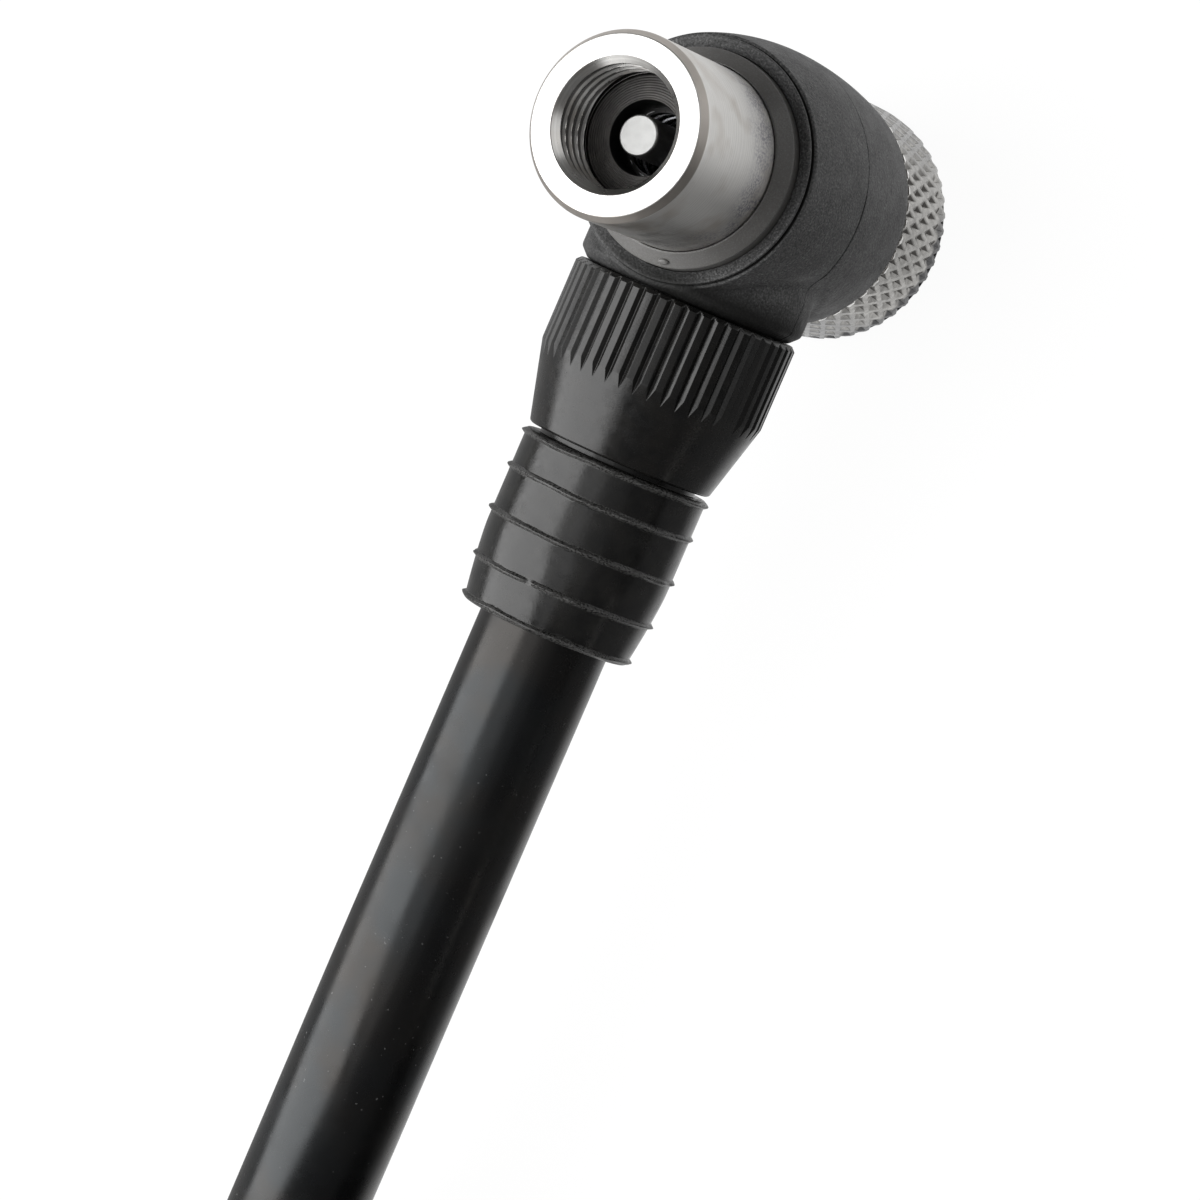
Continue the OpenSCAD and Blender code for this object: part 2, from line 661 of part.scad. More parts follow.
module hose_run() { color("#1c1c1d") tube(run_points, hose_d, 12); }

// The coil spirals in on the surface, climbs one layer, and spirals out on top
function coil_at(turn) =
  let (half_way = coil_turns / 2,
    r = coil_r - coil_pitch * (turn < half_way ? turn : coil_turns - turn),
    climb = min(1, max(0, (turn - half_way + 0.25) / 0.5)),
    a = 180 + 360 * turn)
  [coil_x + r * cos(a), coil_y + r * sin(a),
   coil_z + (coil_top_z - coil_z) * (1 - cos(180 * climb)) / 2];
coil_steps = 24 * coil_turns;
coil_line = [for (i = [0:coil_steps]) coil_at(coil_turns * i / coil_steps)];
coil_gap = min([for (i = [0:coil_steps], k = [0:coil_steps]) if (k > i + 8)
  norm(coil_line[k] - coil_line[i])]) - hose_d;
echo(coil_gap = coil_gap);

module hose_coil() {
  color("#1c1c1d") tube(concat([coil_in], coil_line, [coil_out]), hose_d, 6);
}

// A point on the coil's line, between two of its rings
function on_coil(turn) =
  let (at = coil_steps * turn / coil_turns, i = floor(at), share = at - i)
  coil_line[i] * (1 - share) + coil_line[i + 1] * share;

// A strap round the coil, where its turns lie in a bundle
module coil_strap() {
  reach = strap_w / 2 / (2 * PI * coil_r);
  spots = [for (turn = [0.25:1:coil_turns], side = [-1, 0, 1])
    let (p = on_coil(turn + side * reach)) [coil_y - p[1], p[2]]];
  color("#3b3b3d") translate([coil_x, coil_y, 0]) rotate([0, 0, -90])
    translate([0, strap_w / 2, 0]) rotate([90, 0, 0]) linear_extrude(strap_w) difference() {
      round_bundle(spots, hose_d / 2 + strap_slack + strap_t);
      round_bundle(spots, hose_d / 2 + strap_slack);
    }
}

module round_bundle(spots, r) {
  hull() for (p = spots) translate(p) circle(r, $fn = 32);
}

module hose_tail() { color("#1c1c1d") tube(tail_points, hose_d, 12); }

module hose_hand_end() {
  color("#1c1c1d") at_hand(-crimp_len) ring(hose_d, hose_bore_d + 2 * seat_fit, crimp_len);
}

module crimp_sleeve() {
  inner = hose_d + 2 * seat_fit;
  color("#c4c2bb") at_hand(-crimp_len) ring(inner + 2 * crimp_t, inner, crimp_len);
}

module valve_body() {
  color("#c4c2bb") at_hand(0) difference() {
    union() {
      cylinder(d = valve_flange_d, h = valve_flange_t);
      cylinder(d = valve_d, h = valve_len);
      translate([0, 0, valve_len - over]) barb(nipple_root_d, nipple_d, nipple_len + over);
      mirror([0, 0, 1]) translate([0, 0, -over]) barb(barb_root_d, hose_bore_d, barb_len + over);
      translate([0, 0, lock_w]) rotate([90, 0, 0])
        cylinder(d = lock_d + 2 * lock_boss_t, h = lock_rise - lock_bevel);
    }
    translate([0, 0, -barb_len - over])
      cylinder(d = passage_d, h = barb_len + valve_len + nipple_len + 2 * over);
    translate([0, 0, lock_w]) rotate([90, 0, 0])
      cylinder(d = lock_d + 2 * run_fit, h = lock_rise + over);
  }
}

module lock_screw() {
  tip = passage_d / 2 - lock_bevel;
  shank_r = lock_d / 2;
  head_r = lock_head_d / 2;
  head_top = lock_rise + lock_head_t;
  color("#c4c2bb") at_hand(lock_w) rotate([90, 0, 0]) rotate_extrude() polygon([
    [0, tip], [shank_r - lock_bevel, tip], [shank_r, tip + lock_bevel], [shank_r, lock_rise],
    [head_r - lock_bevel, lock_rise], [head_r, lock_rise + lock_bevel],
    [head_r, head_top - lock_bevel], [head_r - lock_bevel, head_top], [0, head_top]]);
}

// Side of the bulb: a neck that runs into a rounded body
function bulb_side(neck_r, body_r, start, length, steps = 22) = [for (i = [0:steps])
  let (t = i / steps, blend = 5)
  [pow(pow(neck_r * cos(90 * t), blend) + pow(body_r * sin(180 * t), blend), 1 / blend),
   start + length * (1 - cos(180 * t)) / 2]];

module squeeze_bulb() {
  neck_r = bulb_neck_d / 2;
  throat_r = nipple_d / 2 + seat_fit;
  body = bulb_start + bulb_neck_len;
  color("#1f1f20") at_hand(0) difference() {
    rotate_extrude() polygon(concat([[0, bulb_start], [neck_r, bulb_start]],
      bulb_side(neck_r, bulb_d / 2, body, bulb_len), [[0, body + bulb_len]]));
    rotate_extrude() polygon(concat([[0, bulb_start - over], [throat_r, bulb_start - over]],
      bulb_side(throat_r, bulb_d / 2 - bulb_wall, body, bulb_len - bulb_wall),
      [[0, body + bulb_len - bulb_wall]]));
  }
}

module neck_band() {
  color("#c4c2bb") at_hand(bulb_start + (bulb_neck_len - band_w) / 2)
    ring(bulb_neck_d + 2 * (seat_fit + band_t), bulb_neck_d + 2 * seat_fit, band_w);
}

front_shell();
rear_shell();
shell_dowels();
front_bush();
rear_bush();
thrust_washer();
air_block();
spindle_rings();
collar_spindle();
face_gasket();
spring_seat_ring();
push_pin();
piston_ring();
return_spring();
knurled_knob();
knob_screw();
hose_nut();
hose_sleeve();
bend_relief();
hose_head_end();
hose_run();
hose_coil();
coil_strap();
hose_tail();
hose_hand_end();
crimp_sleeve();
valve_body();
lock_screw();
squeeze_bulb();
neck_band();
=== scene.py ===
"""Dresses the air-operated shutter release: its meshes, finishes, camera and light.

Sizes in the classes are in millimetres, in the part's own frame. The screw-on collar's
axis is +Z, the hose arm points along -Y, and the knob's back stands on Z = 0.
"""

import logging
import math
from collections.abc import Callable, Sequence
from dataclasses import dataclass
from enum import Enum
from functools import partial, reduce

import bpy
import numpy as np
from mathutils import Matrix, Vector


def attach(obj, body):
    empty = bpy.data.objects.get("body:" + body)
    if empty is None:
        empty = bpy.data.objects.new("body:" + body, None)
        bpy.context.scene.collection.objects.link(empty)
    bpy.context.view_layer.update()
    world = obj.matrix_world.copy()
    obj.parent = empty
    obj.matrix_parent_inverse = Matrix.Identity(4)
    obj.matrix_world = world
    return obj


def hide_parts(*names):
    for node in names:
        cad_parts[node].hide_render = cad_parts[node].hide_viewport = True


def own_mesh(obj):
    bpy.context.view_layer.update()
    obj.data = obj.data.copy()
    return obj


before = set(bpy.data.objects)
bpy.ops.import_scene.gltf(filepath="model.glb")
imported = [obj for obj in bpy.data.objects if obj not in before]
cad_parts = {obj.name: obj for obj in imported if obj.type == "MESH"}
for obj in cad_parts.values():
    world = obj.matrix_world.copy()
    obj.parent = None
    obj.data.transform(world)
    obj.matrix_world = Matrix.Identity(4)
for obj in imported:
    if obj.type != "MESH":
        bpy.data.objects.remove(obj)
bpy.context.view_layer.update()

MM = 0.001
TURN = 2 * math.pi

Array = np.ndarray
Point = tuple[float, float, float]
Colour = tuple[float, float, float]
Field = Callable[[Array], Array]
Socket = bpy.types.NodeSocket
Pair = tuple[float, float]

log = logging.getLogger("shutter_release")


class Body(Enum):
    """The bodies that a piece can ride on."""

    BODY = "body"
    COLLAR = "collar"
    PIN = "pin"
    LOCK = "lock"


# Shapes


@dataclass(frozen=True)
class Axis:
    """A line in the part's frame that round pieces are built about."""

    origin: Point
    along: Point
    side: Point

    def place(self, w: Array, r: Array, angle: Array) -> Array:
        """Turns cylindrical places into points.

        Args:
            w: distances along the axis.
            r: distances from the axis.
            angle: angles from the axis's side, in radians.

        Returns:
            The points, in millimetres.
        """
        along, side = np.array(self.along), np.array(self.side)
        up = np.cross(along, side)
        w, r, angle = np.broadcast_arrays(w, r, angle)
        return (np.array(self.origin) + w[..., None] * along
                + (r * np.cos(angle))[..., None] * side
                + (r * np.sin(angle))[..., None] * up)

    def across(self, w: float, turned: float) -> "Axis":
        """Gives an axis that leaves this one at a right angle.

        Args:
            w: where it starts along this axis.
            turned: its angle from this axis's side, in degrees.

        Returns:
            The new axis.
        """
        turned = math.radians(turned)
        start = self.place(np.array(w), np.array(0.0), np.array(0.0))
        out = self.place(np.array(w), np.array(1.0), np.array(turned)) - start
        return Axis(tuple(start), tuple(out), self.along)


@dataclass
class Shape:
    """Points in millimetres, and the faces between them."""

    points: Array
    quads: Array
    triangles: Array

    def volume(self) -> float:
        """Gives six times the volume, below zero where the faces are turned inwards."""
        corners = np.concatenate([self.quads[:, :3], self.quads[:, [0, 2, 3]], self.triangles])
        return float(np.linalg.det(self.points[corners]).sum())

    def outward(self) -> "Shape":
        """Gives the same shape with every face turned outwards."""
        way = 1 if self.volume() >= 0 else -1
        return Shape(self.points, self.quads[:, ::way], self.triangles[:, ::way])

    def joined(self, *others: "Shape") -> "Shape":
        """Puts several shapes into one.

        Args:
            others: the shapes that are added.

        Returns:
            One shape, with the faces of each turned outwards.
        """
        parts = [part.outward() for part in (self, *others)]
        starts = np.cumsum([0] + [len(part.points) for part in parts[:-1]])
        return Shape(np.concatenate([part.points for part in parts]),
                     np.concatenate([p.quads + s for p, s in zip(parts, starts)]),
                     np.concatenate([p.triangles + s for p, s in zip(parts, starts)]))


NO_TRIANGLES = np.zeros((0, 3), int)


def round_angles(count: int) -> Array:
    """Gives evenly spaced angles that go round once."""
    return np.arange(count) * TURN / count


def spread(rows: Array, columns: int) -> Array:
    """Repeats each row's one value or point in every column."""
    return np.repeat(rows[:, None], columns, axis=1)


def level_row(w: float, r: Array | float, columns: int) -> Array:
    """Gives one row whose points all lie at w."""
    return np.stack([np.full(columns, float(w)), r + np.zeros(columns)], axis=-1)


def grid_quads(rows: int, columns: int, closed: bool) -> Array:
    """Lists the faces of a grid whose columns run round.

    Args:
        rows: number of rows.
        columns: number of columns.
        closed: whether the last row also meets the first.

    Returns:
        Four point numbers for each face, shape (rows, columns, 4).
    """
    row = np.arange(rows if closed else rows - 1)[:, None]
    column = np.arange(columns)[None, :]
    below, next_row = row * columns, (row + 1) % rows * columns
    right = (column + 1) % columns
    return np.stack(np.broadcast_arrays(
        below + column, below + right, next_row + right, next_row + column), axis=-1)


def revolve(axis: Axis, rows: Array, columns: int, closed: bool = False,
            angles: Array | None = None) -> Shape:
    """Sweeps rows of points round an axis.

    Args:
        axis: the axis.
        rows: (w, r) for each row, or for each row and column. An open outline starts and
            ends on the axis.
        columns: number of columns round the axis.
        closed: whether the rows go round a bore and meet again.
        angles: the columns' angles, where they aren't evenly spaced.

    Returns:
        A closed shape.
    """
    rows = np.asarray(rows, float)
    if rows.ndim == 2:
        rows = spread(rows, columns)
    angle = round_angles(columns) if angles is None else angles
    if closed:
        points = axis.place(rows[..., 0], rows[..., 1], angle).reshape(-1, 3)
        quads = grid_quads(len(rows), columns, True).reshape(-1, 4)
        return Shape(points, quads, NO_TRIANGLES).outward()
    inner = rows[1:-1]
    points = axis.place(inner[..., 0], inner[..., 1], angle).reshape(-1, 3)
    ends = axis.place(rows[[0, -1], 0, 0], np.zeros(2), np.zeros(2))
    quads = grid_quads(len(inner), columns, False).reshape(-1, 4)
    column = np.arange(columns)
    right = (column + 1) % columns
    last = (len(inner) - 1) * columns
    first_pole, last_pole = len(points), len(points) + 1
    fans = np.concatenate([
        np.stack([right, column, np.full(columns, first_pole)], axis=1),
        np.stack([last + column, last + right, np.full(columns, last_pole)], axis=1)])
    return Shape(np.concatenate([points, ends]), quads, fans).outward()


def soften(corners: Sequence[Sequence[float]], radius: float, closed: bool = False) -> Array:
    """Rounds the corners of an outline.

    Args:
        corners: (w, r) or (w, r, own radius) for each corner.
        radius: the radius where a corner has none of its own.
        closed: whether the outline goes round and meets itself.

    Returns:
        (w, r) for each point of the rounded outline.
    """
    most_of_side, guard, least = 0.4, 1.2, 1e-4
    spots = np.array([corner[:2] for corner in corners], float)
    count = len(spots)
    outline = []
    for i, (spot, corner) in enumerate(zip(spots, corners)):
        own = corner[2] if len(corner) > 2 else radius
        before, after = spots[i - 1] - spot, spots[(i + 1) % count] - spot
        sides = np.linalg.norm(before), np.linalg.norm(after)
        reach = min(own, *(most_of_side * side for side in sides))
        if reach < least or (not closed and i in (0, count - 1)):
            outline.append(spot)
            continue
        into, out = before / sides[0], after / sides[1]
        outline.append(spot + guard * reach * into)
        outline += [spot + reach * ((1 - t) ** 2 * into + t ** 2 * out)
                    for t in np.linspace(0, 1, 5)]
        outline.append(spot + guard * reach * out)
    return np.array(outline)


def two_flats(angle: Array, r: float, flat: float) -> Array:
    """Gives the radius of a round seat with two flats across its up direction."""
    return np.minimum(r, flat / np.maximum(np.abs(np.sin(angle)), 0.01))


def lathe(axis: Axis, corners: Sequence[Sequence[float]], columns: int = 96,
          radius: float = 0.12, closed: bool = False) -> Shape:
    """Turns a rounded outline about an axis.

    Args:
        axis: the axis.
        corners: the outline's corners, as soften takes them.
        columns: number of columns round the axis.
        radius: the radius of its corners.
        closed: whether the outline goes round a bore.

    Returns:
        A closed shape.
    """
    return revolve(axis, soften(corners, radius, closed), columns, closed)


def headings(path: Array) -> Array:
    """Gives the unit direction of a path at each of its points."""
    way = np.gradient(path, axis=0)
    return way / np.linalg.norm(way, axis=1, keepdims=True)


def rings_along(path: Array, sides: int) -> Array:
    """Gives a ring of radius 1 square to a path at each of its points, without twist.

    Args:
        path: the centreline's points.
        sides: number of sides.

    Returns:
        The rings' points, from their middles.
    """
    ways = headings(path)
    across = np.cross(ways, (0.0, 0.0, 1.0))
    for i, way in enumerate(ways):
        side = across[max(i - 1, 0)]
        side = side - np.dot(side, way) * way
        across[i] = side / np.linalg.norm(side)
    up = np.cross(ways, across)
    angle = round_angles(sides)[None, :, None]
    return np.cos(angle) * across[:, None] + np.sin(angle) * up[:, None]


def rod(path: Array, r: float, sides: int) -> Shape:
    """Builds a solid rod along a path.

    Args:
        path: the centreline's points.
        r: its radius.
        sides: number of sides.

    Returns:
        A closed shape.
    """
    rings = path[:, None] + r * rings_along(path, sides)
    points = np.concatenate([rings.reshape(-1, 3), path[[0, -1]]])
    column = np.arange(sides)
    after, last = (column + 1) % sides, (len(path) - 1) * sides
    middle = np.full(sides, len(points) - 1)
    ends = np.concatenate([np.stack([middle - 1, after, column], axis=1),
                           np.stack([middle, last + column, last + after], axis=1)])
    quads = grid_quads(len(path), sides, False).reshape(-1, 4)
    return Shape(points, quads, ends).outward()


def tube(path: Array, outer: float, inner: float, sides: int) -> Shape:
    """Builds a hollow tube along a path.

    Args:
        path: the centreline's points.
        outer: outer radius.
        inner: radius of the bore.
        sides: number of sides.

    Returns:
        A closed shape.
    """
    ring = rings_along(path, sides)
    points = np.concatenate([path[:, None] + outer * ring, (path[:, None] + inner * ring)[::-1]])
    quads = grid_quads(2 * len(path), sides, True).reshape(-1, 4)
    return Shape(points.reshape(-1, 3), quads, NO_TRIANGLES).outward()


def smooth_curve(points: Sequence[Point], step: float) -> Array:
    """Runs a smooth curve through points.

    Args:
        points: the points it passes through.
        step: distance between the curve's own points.

    Returns:
        The curve's points.
    """
    spots = np.array(points, float)
    spots = np.concatenate([[2 * spots[0] - spots[1]], spots, [2 * spots[-1] - spots[-2]]])
    curve = []
    for a, b, c, d in zip(spots, spots[1:], spots[2:], spots[3:]):
        before, here, after = (np.linalg.norm(way) for way in (b - a, c - b, d - c))
        first, last = (c - a) * here / (here + before), (d - b) * here / (after + here)
        count = max(1, round(here / step))
        curve += [(2 * t**3 - 3 * t**2 + 1) * b + (t**3 - 2 * t**2 + t) * first
                  + (3 * t**2 - 2 * t**3) * c + (t**3 - t**2) * last
                  for t in np.arange(count) / count]
    return np.array([*curve, spots[-2]])


def round_noise(columns: int, cells: int, seed: int) -> Array:
    """Gives smooth random values that meet after a full turn.

    Args:
        columns: number of values.
        cells: number of random steps in the turn.
        seed: which values to give.

    Returns:
        Values from -1 to 1.
    """
    steps = np.random.RandomState(seed).uniform(-1, 1, cells)
    place = np.arange(columns) * cells / columns
    low = place.astype(int)
    share = place - low
    share = share * share * (3 - 2 * share)
    return steps[low % cells] * (1 - share) + steps[(low + 1) % cells] * share


# Solids from distance fields


def both(first: Array, second: Array, radius: float) -> Array:
    """Keeps what two fields share, with its edge rounded.

    Args:
        first: a field, below zero inside.
        second: another.
        radius: how far the rounding reaches.

    Returns:
        The field of the shared solid.
    """
    share = np.clip(0.5 + 0.5 * (first - second) / radius, 0, 1)
    return first * share + second * (1 - share) + radius * share * (1 - share)


def either(first: Array, second: Array, radius: float) -> Array:
    """Joins two fields with a fillet where they meet.

    Args:
        first: a field, below zero inside.
        second: another.
        radius: how far the fillet reaches.

    Returns:
        The field of the joined solid.
    """
    return -both(-first, -second, radius)


def slab(value: Array, low: float, high: float) -> Array:
    """Gives the field of what lies between two heights."""
    return np.maximum(low - value, value - high)


def net(field: Array) -> tuple[Array, Array]:
    """Finds the zero surface of a field that is sampled on a grid, round on its first axis.

    Args:
        field: the samples, shape (round, out, along).

    Returns:
        The surface's points in grid steps, and its faces.
    """
    inside = field < 0
    rows, out, along = field.shape
    cells = (rows, out - 1, along - 1)
    total, hits = np.zeros((*cells, 3)), np.zeros(cells)
    crossings = []
    for axis in range(3):
        inner = tuple(slice(0, -1) if a == axis and a else slice(None) for a in range(3))
        near, near_in = field[inner], inside[inner]
        far, far_in = np.roll(field, -1, axis)[inner], np.roll(inside, -1, axis)[inner]
        crossed = near_in != far_in
        crossings.append((crossed, near_in))
        share = np.where(crossed, near / np.where(crossed, near - far, 1.0), 0.0)
        for window in np.ndindex(*(1 if a == axis else 2 for a in range(3))):
            pick = (slice(None), *(slice(window[a], window[a] + cells[a]) for a in (1, 2)))
            hit, part = (np.roll(values, -window[0], 0)[pick] for values in (crossed, share))
            hits += hit
            for a in range(3):
                total[..., a] += hit * (part if a == axis else window[a])
    used = hits > 0
    number = np.cumsum(used).reshape(used.shape) - 1
    points = np.stack(np.nonzero(used), axis=1) + total[used] / hits[used][:, None]
    faces = []
    for axis, (crossed, near_in) in enumerate(crossings):
        first, second = [a for a in range(3) if a != axis]
        rim = np.zeros_like(crossed)
        rim[tuple(slice(1, -1) if a and a != axis else slice(None) for a in range(3))] = True
        spots = np.stack(np.nonzero(crossed & rim), axis=1)
        ring = []
        for back in ((1, 1), (0, 1), (0, 0), (1, 0)):
            spot = spots.copy()
            spot[:, [first, second]] -= back
            spot[:, 0] %= rows
            ring.append(number[tuple(spot.T)])
        face = np.stack(ring, axis=1)
        flip = near_in[tuple(spots.T)] ^ (axis == 1)
        face[flip] = face[flip][:, ::-1]
        faces.append(face)
    return points, np.concatenate(faces)


def stations(*spans: Point) -> Array:
    """Spaces places evenly in each of several spans, given as start, end and step."""
    return np.concatenate([np.arange(*span) for span in spans])


def solid(axis: Axis, field: Field, turns: int, out: Array, along: Array) -> Shape:
    """Meshes a distance field on rings round an axis.

    Args:
        axis: the axis.
        field: the field of places given as side, up and along, in the axis's own directions.
        turns: number of steps round the axis.
        out: the rings' distances from the axis.
        along: the rings' places along the axis.

    Returns:
        A closed shape.
    """
    angle, r, w = np.meshgrid(round_angles(turns), out, along, indexing="ij")
    points, faces = net(field(np.stack([r * np.cos(angle), r * np.sin(angle), w])))
    turned = points[:, 0] * TURN / turns
    radius = np.interp(points[:, 1], np.arange(len(out)), out)
    spot = np.stack([radius * np.cos(turned), radius * np.sin(turned),
                     np.interp(points[:, 2], np.arange(len(along)), along)])
    passes, step, flattest, farthest = 3, 1e-3, 0.2, 0.03
    for _ in range(passes):
        slope = np.stack([(field(spot + step * way) - field(spot - step * way)) / (2 * step)
                          for way in np.eye(3)[:, :, None]])
        move = field(spot) * slope / np.maximum((slope**2).sum(axis=0), flattest)
        spot = spot - np.clip(move, -farthest, farthest)
    at = axis.place(spot[2], np.hypot(spot[0], spot[1]), np.arctan2(spot[1], spot[0]))
    return Shape(at, faces, NO_TRIANGLES).outward()


# Finishes


RELIEF_START = 18.1
RIB_PLACES = (0.2, 2.4, 5.15, 8.0, 10.42)


class Board:
    """Writes the nodes of one material, or of the world."""

    def __init__(self, owner: bpy.types.Material | bpy.types.World) -> None:
        """Clears the nodes.

        Args:
            owner: the material or world.
        """
        self.owner = owner
        owner.use_nodes = True
        self.tree = owner.node_tree
        self.tree.nodes.clear()
        self.coords = self.add("TexCoord").outputs["Object"]

    def add(self, kind: str, values: dict | None = None, **settings: object) -> bpy.types.Node:
        """Adds a node.

        Args:
            kind: the node's type, without its first words.
            values: a value, an output or None for each input, by its name or number.
            settings: the node's own settings.

        Returns:
            The node.
        """
        node = self.tree.nodes.new("ShaderNode" + kind)
        for key, setting in settings.items():
            setattr(node, key, setting)
        for key, value in (values or {}).items():
            if isinstance(value, Socket):
                self.tree.links.new(value, node.inputs[key])
            elif value is not None:
                node.inputs[key].default_value = value
        return node

    def noise(self, size: float, detail: float = 2.0, stretch: Point = (1, 1, 1),
              shift: float = 0.0, rough: float = 0.5) -> Socket:
        """Adds a noise.

        Args:
            size: the size of its spots, in millimetres.
            detail: how many finer layers it has.
            stretch: how much longer the spots are along X, Y and Z.
            shift: moves the pattern, so that no two are alike.
            rough: how strong its finer layers are.

        Returns:
            The noise's value.
        """
        scale = tuple(1 / (size * MM * part) for part in stretch)
        spots = self.add("Mapping", {"Vector": self.coords, "Scale": scale,
                                     "Location": (shift, 1.7 * shift, -shift)})
        return self.add("TexNoise", {"Vector": spots.outputs[0], "Scale": 1.0, "Detail": detail,
                                     "Roughness": rough}).outputs[0]

    def span(self, value: Socket, low: float, high: float, to_low: float = 0.0,
             to_high: float = 1.0) -> Socket:
        """Maps one range of values to another, and holds it at the ends."""
        return self.add("MapRange", {"Value": value, "From Min": low, "From Max": high,
                                     "To Min": to_low, "To Max": to_high}).outputs[0]

    def sum(self, first: Socket, second: Socket | float, operation: str = "ADD") -> Socket:
        """Puts two values through one arithmetic operation."""
        return self.add("Math", {0: first, 1: second}, operation=operation).outputs[0]

    def product(self, *values: Socket | float) -> Socket:
        """Multiplies values, one after another."""
        return reduce(partial(self.sum, operation="MULTIPLY"), values)

    def most(self, *values: Socket) -> Socket:
        """Picks the greatest of several values."""
        return reduce(partial(self.sum, operation="MAXIMUM"), values)

    def mixed(self, share: Socket, first: Colour | Socket, second: Colour | Socket) -> Socket:
        """Mixes a share of the second colour into the first."""
        ends = [c if isinstance(c, Socket) else (*c, 1.0) for c in (first, second)]
        return self.add("Mix", {0: share, 6: ends[0], 7: ends[1]}, data_type="RGBA").outputs[2]

    def part(self, letter: str, vector: Socket | None = None) -> Socket:
        """Gives X, Y or Z of a vector, or of the place on the piece."""
        vector = self.coords if vector is None else vector
        return self.add("SeparateXYZ", {0: vector}).outputs[letter]

    def ramp(self, letter: str, start: float, end: float, to_low: float = 0.0,
             to_high: float = 1.0) -> Socket:
        """Gives a share that changes along X, Y or Z between two places in millimetres."""
        return self.span(self.part(letter), start * MM, end * MM, to_low, to_high)

    def radius(self) -> Socket:
        """Gives the distance of the place from the head's axis."""
        flat = self.add("VectorMath", {0: self.coords, 1: (1, 1, 0)}, operation="MULTIPLY")
        return self.add("VectorMath", {0: flat.outputs[0]}, operation="LENGTH").outputs["Value"]

    def within(self, value: Socket, low: float, high: float, blur: float) -> Socket:
        """Gives 1 where a length lies between two others, with soft ends.

        Args:
            value: the length.
            low: the lower end, in millimetres.
            high: the upper end, in millimetres.
            blur: the width of each soft end, in millimetres.

        Returns:
            The share, from 0 to 1.
        """
        above = self.span(value, (low - blur / 2) * MM, (low + blur / 2) * MM)
        below = self.span(value, (high - blur / 2) * MM, (high + blur / 2) * MM, 1.0, 0.0)
        return self.product(above, below)

    def bump(self, height: Socket, depth: float, under: Socket | None = None) -> Socket:
        """Gives the normal of a height from 0 to 1, depth high, over another normal."""
        values = {"Height": height, "Distance": depth * MM, "Strength": 1.0, "Normal": under}
        return self.add("Bump", values).outputs[0]


@dataclass(frozen=True)
class Finish:
    """A surface with mottled colour, uneven gloss and a fine grain."""

    name: str
    colour: Colour
    shade: Colour
    mottle: float = 2.0
    mottle_span: Pair = (0.35, 0.65)
    gloss: Pair = (0.4, 0.5)
    smudge: float = 1.5
    grain: float = 0.1
    grain_depth: float = 0.004
    metallic: float = 0.0
    specular: float = 0.5
    stretch: Point = (1, 1, 1)

    def tint(self, board: Board) -> Socket:
        """Gives the surface's colour."""
        spots = board.noise(self.mottle, 3.0, self.stretch, 3.1)
        return board.mixed(board.span(spots, *self.mottle_span), self.colour, self.shade)

    def dullness(self, board: Board) -> Socket:
        """Gives the surface's roughness."""
        spots = board.noise(self.smudge, 4.0, (1, 1, 1), 7.3, 0.6)
        return board.span(spots, 0.35, 0.65, *self.gloss)

    def relief(self, board: Board) -> Socket:
        """Gives the surface's normal."""
        return board.bump(board.noise(self.grain, 2.0, self.stretch, 5.9), self.grain_depth)

    def sheen(self, board: Board) -> Colour | Socket:
        """Gives the colour of the highlight."""
        return (1.0, 1.0, 1.0, 1.0)

    def level(self, board: Board) -> float | Socket:
        """Gives the strength of the highlight."""
        return self.specular

    def make(self) -> bpy.types.Material:
        """Builds the material, or gives the one that is there.

        Returns:
            The material.
        """
        if self.name in bpy.data.materials:
            return bpy.data.materials[self.name]
        board = Board(bpy.data.materials.new(self.name))
        shader = board.add("BsdfPrincipled", {
            "Base Color": self.tint(board), "Roughness": self.dullness(board),
            "Normal": self.relief(board), "Metallic": self.metallic,
            "Specular IOR Level": self.level(board), "Specular Tint": self.sheen(board)})
        board.add("OutputMaterial", {"Surface": shader.outputs[0]})
        return board.owner


@dataclass(frozen=True)
class GrainedPlastic(Finish):
    """Moulded plastic with a fine sparkling grain, and painted shade in the grain's hollows."""

    speck: Colour = (0.15, 0.15, 0.15)
    hollow: float = 0.4

    def tint(self, board: Board) -> Socket:
        """Gives the mottled colour, with painted shade in the grain's hollows and small pale
        specks.

        Args:
            board: the material's nodes.

        Returns:
            The colour.
        """
        base = super().tint(board)
        # painted shade: the colour is darkened where the fine grain's bump is low
        fine = board.span(board.noise(self.grain, 1.0, shift=2.2), 0.4, 0.62)
        dark = board.mixed(fine, tuple(self.hollow * c for c in self.colour), base)
        specks = board.span(board.noise(0.8 * self.grain, 0.0, shift=9.1), 0.58, 0.76, 0.0, 0.8)
        return board.mixed(specks, dark, self.speck)

    def relief(self, board: Board) -> Socket:
        """Gives the normal of two grains, one on the other."""
        coarse = board.bump(board.noise(2.5 * self.grain, 1.0, shift=4.4), self.grain_depth)
        return board.bump(board.noise(self.grain, 1.0, shift=2.2), self.grain_depth, coarse)


